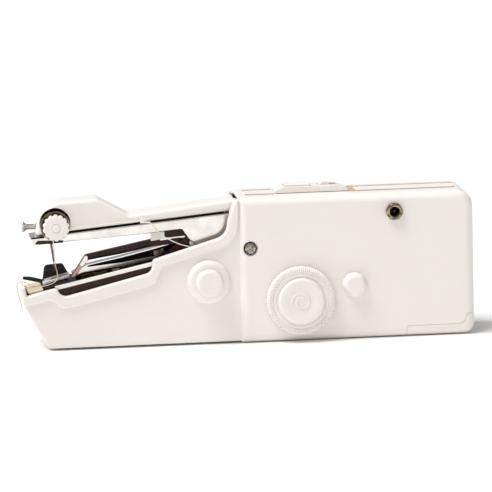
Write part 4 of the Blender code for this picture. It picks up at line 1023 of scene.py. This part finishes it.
def build_needle():
    """Needle with its scarf and eye, and its knurled screw; stations are (along, radius, flattening)."""
    top = Vector((10.0, 0.0, 58.4))
    tip = Vector((13.0, 0.0, 34.6))
    lean = (tip - top).normalized()
    length = (tip - top).length
    across = Vector((0, 1, 0))
    up = lean.cross(across)
    stations = [(0.0, 0.9, 1.0), (9.0, 0.9, 1.0), (9.6, 0.86, 1.0), (10.2, 0.7, 1.0), (10.8, 0.56, 1.0)]
    stations += [(length - 6.4, 0.54, 1.0), (length - 6.0, 0.54, 0.75), (length - 3.2, 0.5, 0.75)]
    stations += [(length - 2.6, 0.48, 1.0), (length - 1.6, 0.34, 1.0), (length - 0.6, 0.16, 1.0)]
    stations += [(length, 0.03, 1.0)]
    sides = 24
    rings = []
    for along, radius, scarf in stations:
        ring = []
        for i in range(sides):
            turn = 2 * pi * i / sides
            spoke = across * cos(turn) * radius * scarf + up * sin(turn) * radius
            ring.append(top + lean * along + spoke)
        rings.append(ring)
    spot = top + lean * (length - 4.6)
    eye = rectangle((spot.x - 0.2, spot.z - 0.7), (spot.x + 0.2, spot.z + 0.7), 0.18)
    needle = carved("needle_fine", loft(rings), *cut(slab(eye, -2, 2)))
    stand_in(needle, "needle", tone="needle_steel", crease=ROUND_CREASE)

    def knurl(row, turn):
        return (0.0, 0.08 * cos(28 * turn)) if 1 < row < 6 else (0.0, 0.0)

    head = [(-2.3, 0.0), (-2.3, 2.2), (-2.2, 2.45), (-2.0, 2.55), (-1.7, 2.55), (-1.4, 2.5), (-1.1, 2.1)]
    head += [(-0.2, 1.45), (0.0, 1.3), (8.2, 1.3), (8.2, 0.0)]
    z = NEEDLE_SCREW_Z
    screw = carved(
        "needle_screw_knurled",
        turned(head, (0, z), "X", 168, ripple=knurl),
        *cut(box((-4.0, -0.35, z - 4), (-1.85, 0.35, z + 4))),
    )
    stand_in(screw, "needle_screw", crease=45.0)


# ------------------------ bed, foot and levers


def build_bed():
    side = bed_corners(*rectangle((9.0, -9.5), (66.5, 0.0), 2.0, 0.0, 1.0, 1.5))
    hollow = bed_corners(*rectangle((0.0, -8.3), (80.0, 9.0), 0.0))
    room = cut(slab(hollow, 1.2 - BED_SIDE, BED_SIDE - 1.2))
    channel = carved("bed_tray", slab(side, -BED_SIDE, BED_SIDE, 0.5, 0.5), *room)
    stand_in(channel, "bed_channel", bevel=0.2)
    # A strip along the bed's top edge in near-white metal: a painted highlight on that edge
    corners = bed_corners(*rectangle((12.0, -0.3), (66.2, 1.5), 0.4, 0.0, 0.3, 0.4))
    rim = slab(corners, -BED_SIDE - 0.25, -BED_SIDE + 1.4, 0.2, 0.2)
    piece("bed_rim_highlight", rim, "chrome", "case", tone="pale_metal")

    sheet = bed_corners(*rectangle((-0.6, 0.6), (23.0, 1.4), 0.3))
    slot = bed_corners(*rectangle((11.6, -3.0), (19.4, 5.0), 0.4))
    plate = carved("throat_plate", slab(sheet, -10.6, 10.6), *cut(slab(slot, -1.4, 1.4)))
    stand_in(plate, "needle_plate", bevel=0.12, tone="lever_black")
    front = bed_corners((-0.7, -2.2, 0.3), (6.0, -2.2, 0.3), (6.6, 1.5, 0.3), (-0.7, 1.5, 0.3))
    piece("throat_apron", slab(front, -11.0, 10.7, 0.2, 0.2), "brass_plate", "case", bevel=0.1)

    # A black strip between the apron's left end and the nose: painted shade in the gap
    edge = [(-1.5, -2.4, 0.1), (1.4, -2.4, 0.1), (0.3, -0.4, 0.3), (-0.9, 1.5, 0.1), (-1.5, 1.5, 0.1)]
    piece("throat_edge_shade", slab(bed_corners(*edge), -11.25, -10.9), "brass_plate", "case", tone="painted_shade_black")


def build_works():
    """The dark mechanism seen inside the bed: a panel, three short rods and a small spring."""
    panel = bed_corners(*rectangle((23.4, -8.0), (66.0, 1.3), 0.4, 0.4, 0.6, 0.6))
    piece("works_panel", slab(panel, 7.4, 8.2), "dark_steel", "case", bevel=0.2, tone="works")
    tilt = Matrix.Rotation(-radians(BED_ANGLE), 3, "Y")
    for number, (along, length, radius, tone) in enumerate(WORKS_RODS):
        x, z = bed_point(along, WORKS_HEIGHT)
        profile = [(x, 0.0), (x, radius), (x + length, radius), (x + length, 0.0)]
        rod = turned(profile, (WORKS_Y, z), "X", 24)
        bmesh.ops.rotate(rod, verts=rod.verts, cent=(x, WORKS_Y, z), matrix=tilt)
        piece(f"works_rod_{number}", rod, "dark_steel", "case", bevel=0.2, tone=tone)

    radius = 1.35
    coils = 9
    steps = 20
    wire = []
    for k in range(coils * steps + 1):
        turn = 2 * pi * k / steps
        along = WORKS_SPRING_START + WORKS_SPRING_LENGTH * k / (coils * steps)
        x, z = bed_point(along, WORKS_HEIGHT + radius * cos(turn))
        wire.append(Vector((x, WORKS_Y + radius * sin(turn), z)))
    piece("works_spring", twisted(wire, 0.2, depth=0.0), "brass", "case", tone="works_gold")


def foot_z(x, rise):
    """Height of the sloping foot at x, a rise above the middle of its sole."""
    return 30.2 + (x - 7.0) * tan(radians(15.0)) + rise


def build_presser():
    shape = [
        (20.6, 32.6, 0.4), (26.0, 34.7, 2.0), (44.0, 36.9, 8.0), (61.0, 39.4, 8.0), (78.5, 45.0, 0.0),
        (77.5, 49.6, 0.0), (60.4, 45.2, 8.0), (44.0, 41.4, 8.0), (28.0, 38.2, 2.0), (20.4, 34.6, 0.4),
    ]
    boss = add(disc(2.9, -2.6, 2.6, LEVER_PIVOT)) + cut(disc(PIN_BORE, -10, 10, LEVER_PIVOT))
    lever = carved("presser_strip", slab(shape, -2.8, 2.8), *boss)
    stand_in(lever, "presser_lever", bevel=0.2)
    wedge = [(27.2, 37.0, 0.3), (44.0, 38.6, 8.0), (60.6, 41.2, 8.0), (73.0, 45.2, 0.5), (73.0, 47.9, 0.5)]
    wedge += [(60.4, 44.6, 8.0), (44.0, 40.9, 8.0), (28.4, 37.9, 0.3)]
    piece("presser_shade", slab(wedge, -3.0, -2.6, 0.1, 0.0), "chrome", "presser", tone="painted_shade_black")
    clip = [(59.6, 41.2, 0.3), (64.6, 42.6, 0.3), (64.0, 45.0, 0.6), (61.4, 43.8, 0.3), (59.2, 43.9, 0.3)]
    piece("presser_clip", slab(clip, -3.7, -2.8, 0.15, 0.0), "chrome", "presser", tone="old_nickel")

    sole = [(6.6, foot_z(6.6, -0.6), 0.4), (19.2, foot_z(19.2, -0.6), 0.3), (19.2, foot_z(19.2, 0.8), 0.3)]
    sole += [(6.6, foot_z(6.6, 0.8), 0.4)]
    slot = rectangle((10.6, 20.0), (17.8, 36.0), 0.5)
    foot = carved("foot_sole", slab(sole, -5.0, 5.0, 0.4, 0.4), *cut(slab(slot, -4.0, 1.2)))
    stand_in(foot, "presser_foot", bevel=0.12, tone="foot_sole")
    tab = [(7.0, foot_z(7.0, 0.6), 0), (19.0, foot_z(19.0, 0.6), 0), (16.6, 38.4, 1.4), (8.0, 37.8, 1.8)]
    piece("foot_tab", slab(tab, 3.2, 4.4, 0.3, 0.3), "dark_steel", "presser", tone="foot_tab")
    finger = [(-2.6, 32.0, 0.3), (8.0, 29.5, 0), (8.0, 31.2, 0), (1.0, 33.0, 1.0), (-2.4, 33.2, 0.3)]
    piece("foot_finger", slab(finger, -0.6, 1.2, 0.2, 0.2), "dark_steel", "presser", tone="foot_tab")


def build_feed():
    shape = [
        (19.8, 33.0, 0.4), (21.7, 33.0, 0.4), (28.0, 40.8, 2.0), (44.0, 43.2, 8.0), (58.0, 46.0, 8.0),
        (71.0, 47.2, 4.0), (77.0, 45.2, 0.0), (79.4, 49.6, 0.0), (76.2, 52.6, 2.0), (71.2, 53.7, 2.0),
        (63.0, 52.6, 2.0), (57.4, 49.4, 3.0), (44.0, 46.8, 8.0), (26.7, 43.4, 1.6),
    ]
    boss = add(disc(2.8, -5.3, -3.3, LEVER_PIVOT)) + cut(disc(PIN_BORE, -10, 10, LEVER_PIVOT))
    lever = carved("feed_bar", slab(shape, -5.4, -3.2), *boss)
    # Its bevelled edges are chrome on a dark face: painted highlights along the edges
    stand_in(lever, "feed_lever", bevel=0.2, tone="lever_face", edge="chrome")
    # A black line under the bar's lower edge: painted shadow
    lower = [(28.0, 40.95, 0.2), (44.0, 43.35, 8.0), (57.6, 46.1, 0.2), (57.6, 46.8, 0.2)]
    lower += [(44.0, 44.05, 8.0), (27.9, 41.65, 0.2)]
    claw = [(19.9, 33.1, 0.2), (21.6, 33.1, 0.2), (25.4, 37.8, 0.3), (23.9, 38.8, 0.3)]
    bend = [(23.9, 38.8, 0.2), (25.4, 37.8, 0.2), (27.9, 40.9, 0.5), (27.9, 42.6, 0.3), (26.8, 43.2, 0.5)]
    under = [(62.4, 48.7, 0.2), (71.0, 49.8, 1.0), (74.6, 49.6, 0.3), (74.4, 50.7, 0.3), (62.4, 49.9, 0.2)]
    for name, shape, tone in (
        ("feed_under_shadow", lower, "painted_shade_black"),
        ("feed_claw", claw, "claw"),
        ("feed_bend", bend, None),
        ("feed_hood_edge", under, None),
    ):
        piece(name, slab(shape, -5.6, -5.2, 0.12, 0.0), "chrome", "feed", tone=tone)


# ------------------------ threads


def build_threads():
    """The threads drawn tight between guides, and the winding on the bobbin."""
    for name, node, route, span in (
        ("supply_thread", "thread_supply", SUPPLY_ROUTE, ("case", SUPPLY_ROUTE[-1], SUPPLY_ROUTE[5])),
        ("needle_thread", "thread_needle", NEEDLE_ROUTE, None),
    ):
        strand = twisted(smooth_route(route, THREAD_SPACING), THREAD_RADIUS)
        piece(name, strand, "thread", "needle_arm", node, tone="thread_white", span=span)
    layer = helix(SPOOL, 8.15, 5.2, 12.2, turns=24, steps=40)
    piece("bobbin_winding", twisted(layer, 0.17, sides=6), "thread", "bobbin", tone="thread_white")


# ------------------------ the rest of the frame


def dress_frame():
    """Softens the small parts in view and gives every CAD node its finish."""
    for entry in SOFTENED:
        refined(*entry)
    head = [(-7.3, 0.0), (-7.3, 1.5), (-7.1, 1.9), (-6.75, 1.9), (-6.75, 0.0)]
    piece("lever_pin_head", turned(head, LEVER_PIVOT), "nickel", "case", tone="pale_metal")
    refined("thread_hook", 0.15, "pale_metal")
    for node, obj in frame["nodes"].items():
        obj.data.materials.clear()
        obj.data.materials.append(MATERIALS[SLOT_OF[node]])


# ------------------------ studio


def build_stage():
    mesh = bpy.data.meshes.new("floor")
    corners = [(x * FLOOR_REACH, y * FLOOR_REACH, 0) for x, y in ((-1, -1), (1, -1), (1, 1), (-1, 1))]
    mesh.from_pydata(corners, [], [(0, 1, 2, 3)])
    mesh.materials.append(MATERIALS["floor"])
    floor = bpy.data.objects.new("floor", mesh)
    floor.location.z = -FLOOR_DROP
    show(floor)

    world = bpy.data.worlds.new("studio")
    world.use_nodes = True
    background = world.node_tree.nodes["Background"]
    background.inputs["Color"].default_value = WORLD_COLOUR
    background.inputs["Strength"].default_value = WORLD_STRENGTH
    bpy.context.scene.world = world
    for name, spot, angle, strength in LAMPS:
        data = bpy.data.lights.new(name, "SUN")
        data.angle = radians(angle)
        data.energy = strength
        lamp = bpy.data.objects.new(name, data)
        lamp.rotation_euler = (-Vector(spot)).to_track_quat("-Z", "Y").to_euler()
        show(lamp)
    bpy.context.scene.view_settings.view_transform = "Standard"


def main():
    build_camera()
    build_tail()
    build_case()
    build_case_lines()
    build_battery_cover()
    build_case_screws()
    build_jack()
    build_switch()
    build_handwheel()
    build_spindles()
    build_arm()
    build_tension()
    build_needle()
    build_bed()
    build_works()
    build_presser()
    build_feed()
    build_threads()
    dress_frame()
    build_stage()


main()
